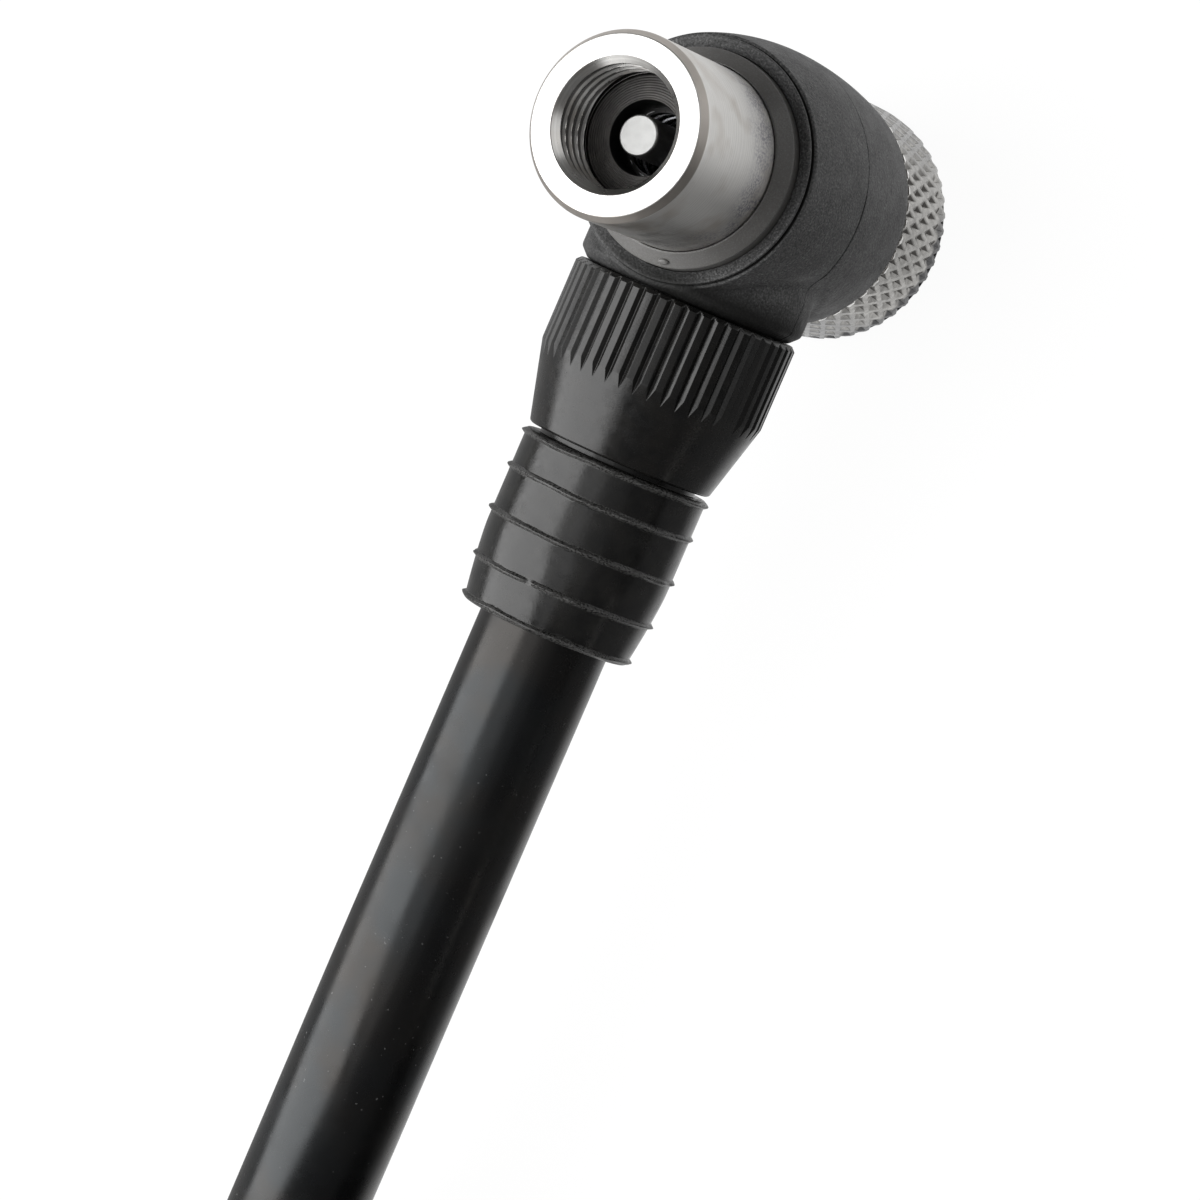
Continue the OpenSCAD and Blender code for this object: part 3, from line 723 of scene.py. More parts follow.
@dataclass(frozen=True)
class HousingPlastic(GrainedPlastic):
    """Grained plastic with painted shade in its groove and on one side of its neck."""

    groove: Pair = (20.7, 21.12)
    groove_r: Pair = (6.9, 7.3)
    groove_blur: float = 0.04
    neck_y: Pair = (-5.4, -6.8)
    neck_x: Pair = (-7.0, 1.5)
    neck_share: float = 0.92
    painted_shade_colour: Colour = (0.01, 0.01, 0.0095)
    shaded_highlight_level: float = 0.3

    def painted_shade_share(self, board: Board) -> Socket:
        """Gives how much shade is painted at a place.

        Args:
            board: the material's nodes.

        Returns:
            The share, from 0 to 1.
        """
        # painted shade: the groove behind the rim and the neck near the nut are darkened, and their
        # highlight weakened
        low = board.product(board.within(board.part("Z"), *self.groove, self.groove_blur),
                            board.within(board.radius(), *self.groove_r, self.groove_blur))
        near = board.product(board.ramp("Y", *self.neck_y, 0.0, self.neck_share),
                             board.ramp("X", *self.neck_x))
        return board.most(low, near)

    def tint(self, board: Board) -> Socket:
        """Gives the plastic's colour with its painted shade."""
        return board.mixed(self.painted_shade_share(board), super().tint(board), self.painted_shade_colour)

    def level(self, board: Board) -> Socket:
        """Gives the strength of the highlight, which is weaker where shade is painted."""
        return board.span(self.painted_shade_share(board), 0, 1, self.specular,
                          self.shaded_highlight_level * self.specular)


@dataclass(frozen=True)
class TurnedMetal(Finish):
    """Metal with fine marks from turning, and smudges from fingers."""

    ring: float = 0.05
    ring_depth: float = 0.009
    stain: Colour = (0.4, 0.34, 0.28)
    stained: Pair = (0.5, 0.72)
    stained_share: float = 0.45
    letter: str = "Z"
    bore_r: float = 0.0
    bore_blur: float = 0.05

    def rings(self, board: Board, size: float) -> Socket:
        """Gives a value that changes only along the turning axis.

        Args:
            board: the material's nodes.
            size: the width of a ring.

        Returns:
            The value.
        """
        height = board.product(board.part(self.letter), 1 / (size * MM))
        return board.add("TexNoise", {"W": height, "Scale": 1.0, "Detail": 3.0},
                         noise_dimensions="1D").outputs[0]

    def tint(self, board: Board) -> Socket:
        """Gives the metal's colour, with stains and darker rings.

        Args:
            board: the material's nodes.

        Returns:
            The colour.
        """
        stains = board.span(board.noise(self.mottle, 2.0, shift=3.1), *self.stained, 0,
                            self.stained_share)
        rings = board.span(self.rings(board, 2 * self.ring), 0.35, 0.65)
        metal = board.mixed(rings, self.colour, self.shade)
        return board.mixed(stains, metal, self.stain)

    def relief(self, board: Board) -> Socket:
        """Gives the normal of the turning marks, which stop at the bore, and a few scratches.

        Args:
            board: the material's nodes.

        Returns:
            The normal.
        """
        marks = self.rings(board, self.ring)
        if self.bore_r:
            marks = board.product(marks, self.outside(board, 0.0))
        turned = board.bump(marks, self.ring_depth)
        return board.bump(board.noise(self.grain, 2.0, shift=5.9), self.grain_depth, turned)

    def outside(self, board: Board, least: float) -> Socket:
        """Gives 1 outside the bore, and the least share inside it."""
        return board.span(board.radius(), self.bore_r * MM, (self.bore_r + self.bore_blur) * MM,
                          least, 1.0)


@dataclass(frozen=True)
class CollarMetal(TurnedMetal):
    """Turned metal, tarnished on its chamfer, speckled low down, with painted shade at the bottom
    of its thread.
    """

    chamfer_r: float = 5.16
    chamfer_z: float = 31.74
    tarnish_and_shade: Colour = (0.5, 0.465, 0.43)
    root_shade: Colour = (0.17, 0.165, 0.16)
    root_r: float = 3.7
    speckled: Pair = (21.0, 25.0)
    dark: Colour = (0.36, 0.35, 0.39)
    bore_dullness: float = 0.7

    def tint(self, board: Board) -> Socket:
        """Gives the metal's colour with its tarnished chamfer, speckles and painted shade at the
        bottom of the thread.

        Args:
            board: the material's nodes.

        Returns:
            The colour.
        """
        spots = board.product(board.span(board.noise(0.14, 2.0, shift=4.7), 0.42, 0.6),
                              board.span(board.noise(1.5, 2.0, (1, 1, 2), 8.3), 0.38, 0.62),
                              board.within(board.part("Z"), *self.speckled, 2.5))
        # painted shade: the bottom of the thread grooves is darkened
        root_shade_share = board.product(board.within(board.radius(), self.root_r, self.bore_r, 0.04),
                              board.ramp("Z", self.chamfer_z - 0.12, self.chamfer_z - 0.17))
        rim = board.product(
            board.within(board.radius(), self.chamfer_r + 0.02, self.chamfer_r + 0.5, 0.03),
            board.ramp("Z", self.chamfer_z - 0.22, self.chamfer_z - 0.19))
        metal = board.mixed(spots, super().tint(board), self.dark)
        return board.mixed(rim, board.mixed(root_shade_share, metal, self.root_shade), self.tarnish_and_shade)

    def dullness(self, board: Board) -> Socket:
        """Gives the roughness, which is lower inside the bore."""
        return board.product(super().dullness(board), self.outside(board, self.bore_dullness))


@dataclass(frozen=True)
class KnurledMetal(Finish):
    """Plated metal with painted shade in its pits, on some lands and behind, a painted highlight on
    its front edge and a brown band in front.
    """

    top_r: float = 7.35
    side_depth: float = 0.55
    over: float = 0.1
    pit_shade_depth: float = 0.06
    pit_shade: Colour = (0.085, 0.08, 0.075)
    rear_end: float = 1.15
    tarnish_and_shade: Colour = (0.1, 0.1, 0.103)
    front_start: float = 6.21
    edge: float = 0.17
    bright: Colour = (1.0, 0.99, 0.97)
    brown: Colour = (0.17, 0.115, 0.085)
    brown_w: float = 0.8
    land_shade: Colour = (0.26, 0.26, 0.265)
    land_shade_y: Pair = (4.4, 6.0)
    land_shade_above: float = 0.55
    land_shade_below: float = 0.8
    wobble: float = 0.12

    def shade_facing(self, board: Board) -> Socket:
        """Gives how much a face on the knob's right is turned back against its turning; shade is
        painted there.

        Args:
            board: the material's nodes.

        Returns:
            The share, from 0 to 1.
        """
        normal = board.add("TexCoord").outputs["Normal"]
        turned = board.add("VectorMath", {0: board.coords, 1: normal}, operation="CROSS_PRODUCT")
        lift = board.sum(board.part("Z", turned.outputs[0]), board.radius(), "DIVIDE")
        side, front = board.span(lift, -0.42, -0.25, 1.0, 0.0), board.part("Z", normal)
        return board.product(side, board.span(front, 0.0, 0.12), board.ramp("X", 4.8, 6.0))

    def tint(self, board: Board) -> Socket:
        """Gives the plating's colour with its painted shade, its painted highlight and its brown
        band.

        Args:
            board: the material's nodes.

        Returns:
            The colour.
        """
        radius, height, top = board.radius(), board.part("Z"), self.top_r + self.over
        uneven = board.span(board.noise(0.7, 3.0, shift=1.3), 0.3, 0.7, -self.wobble * MM,
                            self.wobble * MM)
        ragged = board.sum(height, uneven)
        side = board.within(radius, self.top_r - self.side_depth, top, 0.02)
        pits = board.within(radius, self.top_r - self.side_depth, self.top_r - self.pit_shade_depth,
                            0.05)
        lands = board.within(radius, self.top_r - self.pit_shade_depth, top, 0.05)
        knurls = board.within(height, self.rear_end, self.front_start, 0.1)
        above = board.ramp("Y", *self.land_shade_y, 0.0, self.land_shade_above)
        below = board.ramp("Y", *(-y for y in self.land_shade_y), 0.0, self.land_shade_below)
        edge = board.within(ragged, self.front_start - self.edge, self.front_start + 0.1, 0.03)
        rear = board.product(board.within(ragged, -1.0, self.rear_end, 0.25),
                             board.ramp("Y", 3.6, 1.6))
        front = board.within(height, self.front_start, self.front_start + self.brown_w, 0.03)
        plated = super().tint(board)
        for share, colour in (
                # painted shade in the pits: faces on the knob's right that are turned back are
                # darkened
                (board.product(pits, knurls, self.shade_facing(board)), self.pit_shade),
                # painted shade: lands near the knob's top and bottom are darkened to stand for
                # darker reflections there
                (board.product(lands, board.most(above, below)), self.land_shade),
                # painted highlight: a near-white band at the front end of the knurls stands for
                # light caught on that edge
                (board.product(side, edge), self.bright),
                # painted shade: the back of the knurled side, on the knob's lower part, is darkened
                # to stand for the shadowed floor it reflects
                (board.product(side, rear), self.tarnish_and_shade),
                (board.product(side, front), self.brown)):
            plated = board.mixed(share, plated, colour)
        return plated


@dataclass(frozen=True)
class GasketRubber(Finish):
    """Rubber that is grey on its face, with painted shade that darkens its hole."""

    hole_r: float = 2.19
    black: Colour = (0.004, 0.004, 0.004)

    def tint(self, board: Board) -> Socket:
        """Gives the rubber's colour, with painted shade in its hole."""
        # painted shade: the hole's wall is darkened
        hole = board.within(board.radius(), 0.0, self.hole_r, 0.02)
        return board.mixed(hole, super().tint(board), self.black)


@dataclass(frozen=True)
class BlackWithPaintedGlints(Finish):
    """Blacked steel, dark to stand for the shade deep in the well, with painted glints on parts of
    two circles.
    """

    circles: Pair = (1.62, 1.98)
    line_w: float = 0.05
    worn: Colour = (0.9, 0.9, 0.9)

    def tint(self, board: Board) -> Socket:
        """Gives the dark colour with its painted glints on two circles.

        Args:
            board: the material's nodes.

        Returns:
            The colour.
        """
        # painted glints: parts of two thin circles are made almost white
        lines = [board.within(board.radius(), r, r + self.line_w, 0.02) for r in self.circles]
        kept = board.span(board.noise(0.9, 1.0, shift=3.7), 0.52, 0.56)
        return board.mixed(board.product(board.most(*lines), kept), super().tint(board), self.worn)


@dataclass(frozen=True)
class RibbedRubber(Finish):
    """Moulded rubber with torn grey edges."""

    edges: tuple[float, ...] = tuple(RELIEF_START + place for place in RIB_PLACES)
    reach: float = 0.2
    torn: Colour = (0.075, 0.074, 0.072)
    rough: float = 0.3

    def torn_share(self, board: Board) -> Socket:
        """Gives how torn the surface is.

        Args:
            board: the material's nodes.

        Returns:
            The share, from 0 to 1.
        """
        place = board.part("Y")
        bands = [board.within(place, -edge - self.reach, -edge + self.reach, 0.1)
                 for edge in self.edges]
        torn = board.span(board.noise(0.12, 2.0, shift=6.6), 0.4, 0.6)
        return board.product(board.most(*bands), torn)

    def tint(self, board: Board) -> Socket:
        """Gives the rubber's colour."""
        return board.mixed(self.torn_share(board), super().tint(board), self.torn)

    def dullness(self, board: Board) -> Socket:
        """Gives the roughness, which is higher where the rubber is torn."""
        torn = board.span(self.torn_share(board), 0, 1, 0, self.rough)
        return board.sum(super().dullness(board), torn)


@dataclass(frozen=True)
class HoseRubber(Finish):
    """Rubber with hazy patches, dust, and a highlight that changes in colour."""

    dust: Colour = (0.3, 0.3, 0.3)
    blue: Colour = (0.93, 0.975, 1.0)
    brown: Colour = (1.0, 0.955, 0.91)

    def sheen(self, board: Board) -> Socket:
        """Gives the colour of the highlight, which changes in patches."""
        patches = board.span(board.noise(4.5, 2.0, shift=5.5), 0.4, 0.6)
        return board.mixed(patches, self.blue, self.brown)

    def dullness(self, board: Board) -> Socket:
        """Gives the roughness, with hazy patches."""
        haze = board.span(board.noise(5.0, 3.0, shift=4.1), 0.5, 0.7, 0.0, 0.1)
        return board.sum(super().dullness(board), haze)

    def tint(self, board: Board) -> Socket:
        """Gives the rubber's colour with specks of dust.

        Args:
            board: the material's nodes.

        Returns:
            The colour.
        """
        specks = board.span(board.noise(0.22, 0.0, shift=8.8), 0.81, 0.85)
        patches = board.span(board.noise(9.0, 2.0, shift=6.1), 0.4, 0.6)
        return board.mixed(board.product(specks, patches), super().tint(board), self.dust)


@dataclass(frozen=True)
class Webbing(Finish):
    """Rubber webbing with ribs along it."""

    rib: float = 0.9
    rib_h: float = 0.08

    def relief(self, board: Board) -> Socket:
        """Gives the normal of fine ribs along the strap.

        Args:
            board: the material's nodes.

        Returns:
            The normal.
        """
        ribs = board.add("TexWave", {"Vector": board.coords, "Scale": 0.314 / (self.rib * MM),
                                     "Distortion": 0.6, "Detail": 1.0}, bands_direction="X")
        return board.bump(ribs.outputs[1], self.rib_h, super().relief(board))


class Finishes(Enum):
    """The part's finishes."""

    HOUSING = HousingPlastic("charcoal_plastic", (0.082, 0.082, 0.082), (0.058, 0.058, 0.059),
                             mottle=1.7, gloss=(0.5, 0.62), grain=0.14, grain_depth=0.035,
                             speck=(0.135, 0.135, 0.135))
    BUSH = GrainedPlastic("satin_black_plastic", (0.14, 0.136, 0.13), (0.115, 0.112, 0.108),
                          mottle=1.6, gloss=(0.32, 0.42), hollow=0.8)
    NUT = Finish("gloss_black_plastic", (0.006, 0.006, 0.006), (0.01, 0.0093, 0.0085),
                 mottle=1.1, gloss=(0.2, 0.3), smudge=0.7, stretch=(1.8, 1.0, 1.0))
    RELIEF = RibbedRubber("relief_rubber", (0.008, 0.008, 0.008), (0.015, 0.0145, 0.0135),
                          mottle=1.2, gloss=(0.16, 0.28), smudge=0.8, grain=0.2,
                          grain_depth=0.005)
    HOSE = HoseRubber("hose_rubber", (0.0042, 0.0044, 0.0048), (0.006, 0.006, 0.0063),
                      mottle=5.0, gloss=(0.22, 0.3), smudge=2.5, grain=0.14, grain_depth=0.002,
                      specular=0.47, dust=(0.12, 0.12, 0.12))
    COLLAR = CollarMetal("satin_nickel", (0.78, 0.77, 0.75), (0.66, 0.65, 0.63),
                         mottle=2.6, gloss=(0.38, 0.48), smudge=1.4, grain=0.12,
                         grain_depth=0.001, metallic=1.0, bore_r=4.05)
    KNOB = KnurledMetal("knurled_nickel", (0.54, 0.53, 0.51), (0.36, 0.353, 0.34),
                        mottle=0.4, gloss=(0.2, 0.34), smudge=0.5, grain=0.12, metallic=1.0)
    FITTING = TurnedMetal("satin_fitting", (0.6, 0.59, 0.57), (0.5, 0.49, 0.47),
                          gloss=(0.24, 0.36), grain=0.2, grain_depth=0.002, metallic=1.0,
                          letter="Y")
    STEEL = Finish("bright_steel", (0.66, 0.65, 0.63), (0.56, 0.55, 0.53), mottle=0.5,
                   gloss=(0.22, 0.36), smudge=0.4, grain=0.06, grain_depth=0.002, metallic=1.0)
    PIN_FACE = Finish("matt_steel", (0.36, 0.36, 0.355), (0.33, 0.33, 0.325), mottle=0.5,
                      gloss=(0.42, 0.46), smudge=0.3, grain=0.08, grain_depth=0.002, metallic=1.0)
    SPRING = Finish("spring_wire", (0.45, 0.46, 0.48), (0.32, 0.33, 0.35), mottle=0.6,
                    gloss=(0.2, 0.35), smudge=0.5, grain=0.05, grain_depth=0.002, metallic=1.0)
    BRASS = Finish("machined_brass", (0.6, 0.42, 0.16), (0.48, 0.32, 0.12), mottle=1.5,
                   gloss=(0.22, 0.36), smudge=1.0, grain_depth=0.003, metallic=1.0)
    BEARING = Finish("bearing_polymer", (0.42, 0.31, 0.19), (0.36, 0.26, 0.15), mottle=1.0,
                     gloss=(0.4, 0.55), grain=0.15)
    WASHER = Finish("washer_polymer", (0.72, 0.7, 0.62), (0.66, 0.63, 0.55), mottle=1.0,
                    gloss=(0.35, 0.5), grain=0.15, grain_depth=0.003)
    BLACKED = BlackWithPaintedGlints("blacked_steel", (0.012, 0.012, 0.013), (0.02, 0.019, 0.018), mottle=0.4,
                     gloss=(0.25, 0.4), smudge=0.3, grain=0.05, grain_depth=0.002)
    SEAL = Finish("seal_rubber", (0.012, 0.012, 0.012), (0.02, 0.02, 0.02), mottle=0.7,
                  gloss=(0.3, 0.45), smudge=0.6, grain=0.08, grain_depth=0.003)
    # painted light: the gasket's grey is lighter than the rubber's own, to make up for the little
    # light deep in the bore
    GASKET = GasketRubber("gasket_rubber", (0.12, 0.112, 0.106), (0.085, 0.08, 0.076),
                          mottle=0.7, gloss=(0.4, 0.52), smudge=0.5, grain=0.07)
    BULB = HoseRubber("bulb_rubber", (0.016, 0.016, 0.0165), (0.024, 0.024, 0.024),
                      mottle=6.0, gloss=(0.42, 0.55), smudge=4.0, grain=0.3, grain_depth=0.01)
    STRAP = Webbing("strap_webbing", (0.03, 0.03, 0.031), (0.042, 0.042, 0.042), mottle=1.6,
                    gloss=(0.5, 0.62), grain=0.2, grain_depth=0.02)

    def make(self) -> bpy.types.Material:
        """Builds this finish's material."""
        return self.value.make()


def new_object(name: str, data: bpy.types.ID) -> bpy.types.Object:
    """Adds an object to the scene.

    Args:
        name: its name.
        data: its mesh, lamp or camera.

    Returns:
        The object.
    """
    made = bpy.data.objects.new(name, data)
    bpy.context.scene.collection.objects.link(made)
    return made


def build_piece(name: str, shape: Shape, finish: Finishes, stands_for: Sequence[str],
                body: Body = Body.BODY, sharp: float = 32.0) -> bpy.types.Object:
    """Makes a piece of the part from a shape.

    Args:
        name: the piece's name.
        shape: its shape.
        finish: its finish.
        stands_for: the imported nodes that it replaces.
        body: the body that it rides on.
        sharp: edges bent by more than this many degrees stay sharp.

    Returns:
        The piece.
    """
    mesh = bpy.data.meshes.new(name)
    mesh.from_pydata((shape.points * MM).tolist(), [],
                     shape.quads.tolist() + shape.triangles.tolist())
    mesh.shade_smooth()
    mesh.set_sharp_from_angle(angle=math.radians(sharp))
    mesh.materials.append(finish.make())
    piece = new_object(name, mesh)
    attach(piece, body.value)
    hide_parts(*stands_for)
    log.info("%s: %d faces, for %s", name, len(mesh.polygons), ", ".join(stands_for))
    return piece


# The head's axes
HEAD_AXIS = Axis((0, 0, 0), (0, 0, 1), (1, 0, 0))
ARM_Z = 14.5
ARM_AXIS = Axis((0, 0, ARM_Z), (0, -1, 0), (1, 0, 0))
PARTING_AXIS = Axis((0, 0, ARM_Z), (0, 0, 1), (1, 0, 0))


# The head


@dataclass
class Housing:
    """The barrel in two halves, with the raised rim and the neck for the nut."""

    mid_r: float = 8.125
    end_r: float = 7.45
    front_h: float = 6.75
    rear_h: float = 7.85
    rim_r: float = 7.26
    rim_h: float = 0.22
    groove_w: float = 0.2
    groove_r: float = 7.0
    neck_r: float = 6.95
    neck_top: float = 6.55
    neck_reach: float = 7.7
    neck_chamfer: float = 0.6
    crease: float = 0.16
    crease_w: float = 0.35
    crease_fade: float = 1.2
    edge_r: float = 0.12
    bush_r: float = 6.49
    rim_bevel_r: float = 6.52
    rim_bevel_h: float = 0.2
    block_r: float = 6.22
    spigot_r: float = 4.42
    bush_foot: float = 4.8
    block_foot: float = -6.3
    rear_hole_r: float = 5.22
    dowel_r: float = 0.52
    dowel_out: float = 7.16
    dowel_h: float = 2.0
    dowel_angles: Pair = (35.0, 145.0)
    lap: float = 0.1
    line_w: float = 0.012
    open_line_w: float = 0.05
    open_angle: float = -0.11
    open_reach: float = 0.43
    line_end_y: float = -4.4
    turns: int = 288

    def outline(self, at: Array) -> Array:
        """Gives the field of both halves together, before they are hollowed.

        Args:
            at: X, Y and Z of the places, from the middle of the parting.

        Returns:
            The field there.
        """
        x, y, z = at
        r = np.hypot(x, y)
        rim_foot = self.front_h - self.rim_h
        groove_foot = rim_foot - self.groove_w
        share = np.where(z > 0, z / groove_foot, z / self.rear_h)
        side = r - self.mid_r + (self.mid_r - self.end_r) * share**2
        barrel = both(side, slab(z, -self.rear_h, groove_foot), self.edge_r)
        rim = both(both(r - self.rim_r, z - self.front_h, 0.14), -z, 0.1)
        whole = np.minimum(barrel, rim)
        groove = np.maximum(self.groove_r - r, slab(z, groove_foot, rim_foot))
        whole = both(whole, -groove, 0.05)
        around = np.hypot(x, z)
        neck = both(around - self.neck_r, z - self.neck_top, 0.25)
        chamfer = (around - y - self.neck_r - self.neck_reach + self.neck_chamfer) / math.sqrt(2)
        neck = both(both(neck, chamfer, self.edge_r), y, 0.1)
        fade = np.clip((self.neck_top - z) / self.crease_fade, 0, 1)
        crease = self.crease * fade * np.exp(-(whole**2 + neck**2) / self.crease_w**2)
        whole = either(whole, neck, self.edge_r) + crease
        return both(whole, -y - self.neck_reach, 0.1)

    def room(self, at: Array) -> Array:
        """Gives the field of what is hollow.

        Args:
            at: X, Y and Z of the places, from the middle of the parting.

        Returns:
            The field there.
        """
        x, y, z = at
        r = np.hypot(x, y)
        block = np.maximum(r - self.block_r, slab(z, self.block_foot, self.bush_foot))
        bush = np.maximum(r - self.bush_r, self.bush_foot - self.lap - z)
        bevel_foot = self.front_h - self.rim_bevel_h
        slope = (self.rim_r - self.lap - self.rim_bevel_r) / self.rim_bevel_h
        bevel = (r - self.rim_bevel_r - slope * (z - bevel_foot)) / math.hypot(1, slope)
        bush = np.minimum(bush, np.maximum(bevel, bevel_foot - z))
        rear = np.maximum(r - self.rear_hole_r, z - self.block_foot - self.lap)
        spigot = np.maximum(np.hypot(x, z) - self.spigot_r, y)
        space = np.minimum(np.minimum(block, bush), np.minimum(rear, spigot))
        for angle in map(math.radians, self.dowel_angles):
            across = np.hypot(x - self.dowel_out * math.cos(angle),
                              y - self.dowel_out * math.sin(angle))
            hole = np.maximum(across - self.dowel_r, np.abs(z) - self.dowel_h)
            space = np.minimum(space, hole)
        return space

    def half(self, way: int, at: Array) -> Array:
        """Gives the field of one half.

        Args:
            way: 1 for the front half, -1 for the rear.
            at: X, Y and Z of the places, from the middle of the parting.

        Returns:
            The field there.
        """
        x, y, z = at
        on_neck = np.clip(4 * (self.line_end_y - y), 0, 1)
        off_middle = np.abs(np.arctan2(y, x) - self.open_angle)
        wide = np.clip((self.open_reach - off_middle) * 8, 0, 1)
        gap = (self.line_w + self.open_line_w * wide) * (1 - on_neck)
        whole = both(self.outline(at), -self.room(at), 0.04)
        return both(whole, gap - way * z, 0.07 - 0.06 * on_neck)

    def build(self) -> None:
        """Builds and dresses both halves, on rings that are closer at their edges."""
        out = stations((4.2, 6.0, 0.2), (6.0, 8.4, 0.075), (8.4, 10.4, 0.12))
        front = stations((-0.2, 0.4, 0.05), (0.4, 5.8, 0.2), (5.8, 7.0, 0.045))
        rear = stations((-8.1, -7.5, 0.05), (-7.5, -0.4, 0.2), (-0.4, 0.25, 0.05))
        for name, way, along in (("front", 1, front), ("rear", -1, rear)):
            half = solid(PARTING_AXIS, partial(self.half, way), self.turns, out, along)
            build_piece("housing_" + name, half, Finishes.HOUSING, [name + "_shell"])


@dataclass
class ScrewHead:
    """The screw-on collar with its spindle, thread, gasket, pin and bush."""

    collar_r: float = 5.5
    journal_r: float = 4.0
    gallery_r: float = 3.4
    gallery_h: float = 2.2
    knob_top: float = 6.5
    seat_end: float = 3.05
    seat_r: float = 3.0
    seat_flat: float = 2.4
    screw_hole_r: float = 1.25
    screw_hole_end: float = 8.55
    shoulder_z: float = 19.35
    mouth_z: float = 32.05
    chamfer: float = 0.34
    chamfer_h: float = 0.53
    lead_in_r: float = 3.95
    lead_in_depth: float = 0.43
    thread_r: float = 3.55
    thread_depth: float = 0.4
    thread_end: float = 28.35
    thread_steps: int = 28
    pitch: float = 0.8
    undercut_r: float = 4.0
    gasket_rim_z: float = 27.85
    gasket_seat_r: float = 3.72
    seat_ring_z: float = 25.3
    bore_r: float = 2.5
    bore_floor: float = 13.2
    gasket_r: float = 3.7
    gasket_hole_r: float = 2.15
    gasket_rings: float = 9.5
    gasket_ring_h: float = 0.014
    gasket_bevel: float = 0.1
    gasket_lip: float = 0.06
    lip_z: float = 28.0
    gasket_bottom: float = 25.8
    pin_r: float = 1.2
    pin_tip: float = 28.9
    piston_r: float = 2.45
    piston_z: Pair = (16.2, 18.2)
    piston_groove_r: float = 1.91
    piston_groove_w: float = 1.0
    pin_bevel: float = 0.08
    bush_r: float = 6.45
    bush_foot: float = 19.3
    shoulder_top: float = 21.7
    bush_top: float = 22.37
    bush_bore_r: float = 5.55
    bush_lip: float = 0.1
    pip_z: float = 21.97
    pip_angle: float = 281.3
    pip_r: float = 0.18
    pip_h: float = 0.17
    pip_stretch: float = 1.9
    columns: int = 144

    def thread_rows(self, angle: Array) -> Array:
        """Gives the rows of the mouth's thread, from its outer end inwards.

        Args:
            angle: the columns' angles.

        Returns:
            (w, r) for each row and column.
        """
        top = self.mouth_z - self.lead_in_depth
        steps = round((top - self.thread_end) / self.pitch * self.thread_steps)
        z = np.linspace(top, self.thread_end, steps + 1)[:, None]
        phase = (z / self.pitch - angle[None, :] / TURN) % 1
        groove = np.clip((0.44 - np.abs(phase - 0.5)) / 0.34, 0, 1)
        lead = np.clip((top - z) / 0.2, 0, 1)
        tail = np.clip((z - self.thread_end) / 0.1, 0, 1)
        r = self.thread_r + self.thread_depth * groove * lead
        r = self.undercut_r + (r - self.undercut_r) * tail
        return np.stack(np.broadcast_arrays(z, r), axis=-1)

    def collar(self) -> Shape:
        """Builds the collar and its spindle in one piece.

        Returns:
            Its shape.
        """
        angle = round_angles(self.columns)
        face = self.mouth_z
        gallery_low, gallery_high = ARM_Z - self.gallery_h / 2, ARM_Z + self.gallery_h / 2
        outside = soften([
            (self.knob_top, self.screw_hole_r), (self.knob_top, self.journal_r),
            (gallery_low, self.journal_r), (gallery_low, self.gallery_r),
            (gallery_high, self.gallery_r), (gallery_high, self.journal_r),
            (self.shoulder_z, self.journal_r), (self.shoulder_z, self.collar_r),
            (face - self.chamfer_h, self.collar_r, 0.08),
            (face, self.collar_r - self.chamfer, 0.06), (face, self.lead_in_r, 0.05),
            (face - self.lead_in_depth, self.thread_r)], 0.1)[1:]
        inside = soften([
            (self.thread_end, self.undercut_r), (self.gasket_rim_z, self.undercut_r),
            (self.gasket_rim_z, self.gasket_seat_r), (self.seat_ring_z, self.gasket_seat_r),
            (self.seat_ring_z, self.bore_r), (self.bore_floor, self.bore_r),
            (self.bore_floor, 0.0)], 0.05)[1:]
        flats = two_flats(angle, self.seat_r, self.seat_flat)
        seat = [level_row(z, r, self.columns) for z, r in (
            (self.screw_hole_end, 0.0), (self.screw_hole_end, self.screw_hole_r),
            (self.seat_end, self.screw_hole_r), (self.seat_end, flats), (self.knob_top, flats))]
        rows = np.concatenate([np.array(seat), spread(outside, self.columns),
                               self.thread_rows(angle), spread(inside, self.columns)])
        return revolve(HEAD_AXIS, rows, self.columns)

    def gasket(self) -> Shape:
        """Builds the gasket, with fine rings on its cone.

        Returns:
            Its shape.
        """
        share = np.linspace(0, 1, 91)
        edge_r, lip_r = self.gasket_r - self.gasket_bevel, self.gasket_hole_r + self.gasket_lip
        height = (self.gasket_rim_z + (self.lip_z - self.gasket_rim_z) * share
                  + self.gasket_ring_h * np.sin(self.gasket_rings * TURN * share))
        cone = np.stack([height, edge_r + (lip_r - edge_r) * share], axis=-1)
        foot = [(self.lip_z - self.gasket_lip, self.gasket_hole_r),
                (self.gasket_bottom, self.gasket_hole_r), (self.gasket_bottom, self.gasket_r),
                (self.gasket_rim_z - self.gasket_bevel, self.gasket_r)]
        return revolve(HEAD_AXIS, np.concatenate([cone, foot]), self.columns, closed=True)

    def pin(self) -> Shape:
        """Builds the push pin and its piston.

        Returns:
            Its shape.
        """
        low, high = self.piston_z
        groove_low, groove_high = ((low + high + way * self.piston_groove_w) / 2
                                   for way in (-1, 1))
        return lathe(HEAD_AXIS, [
            (low, 0), (low, self.piston_r), (groove_low, self.piston_r),
            (groove_low, self.piston_groove_r), (groove_high, self.piston_groove_r),
            (groove_high, self.piston_r), (high, self.piston_r), (high, self.pin_r, 0.05),
            (self.pin_tip - self.pin_bevel, self.pin_r, 0.05),
            (self.pin_tip, self.pin_r - self.pin_bevel, 0.05), (self.pin_tip, 0)], 96, 0.08)

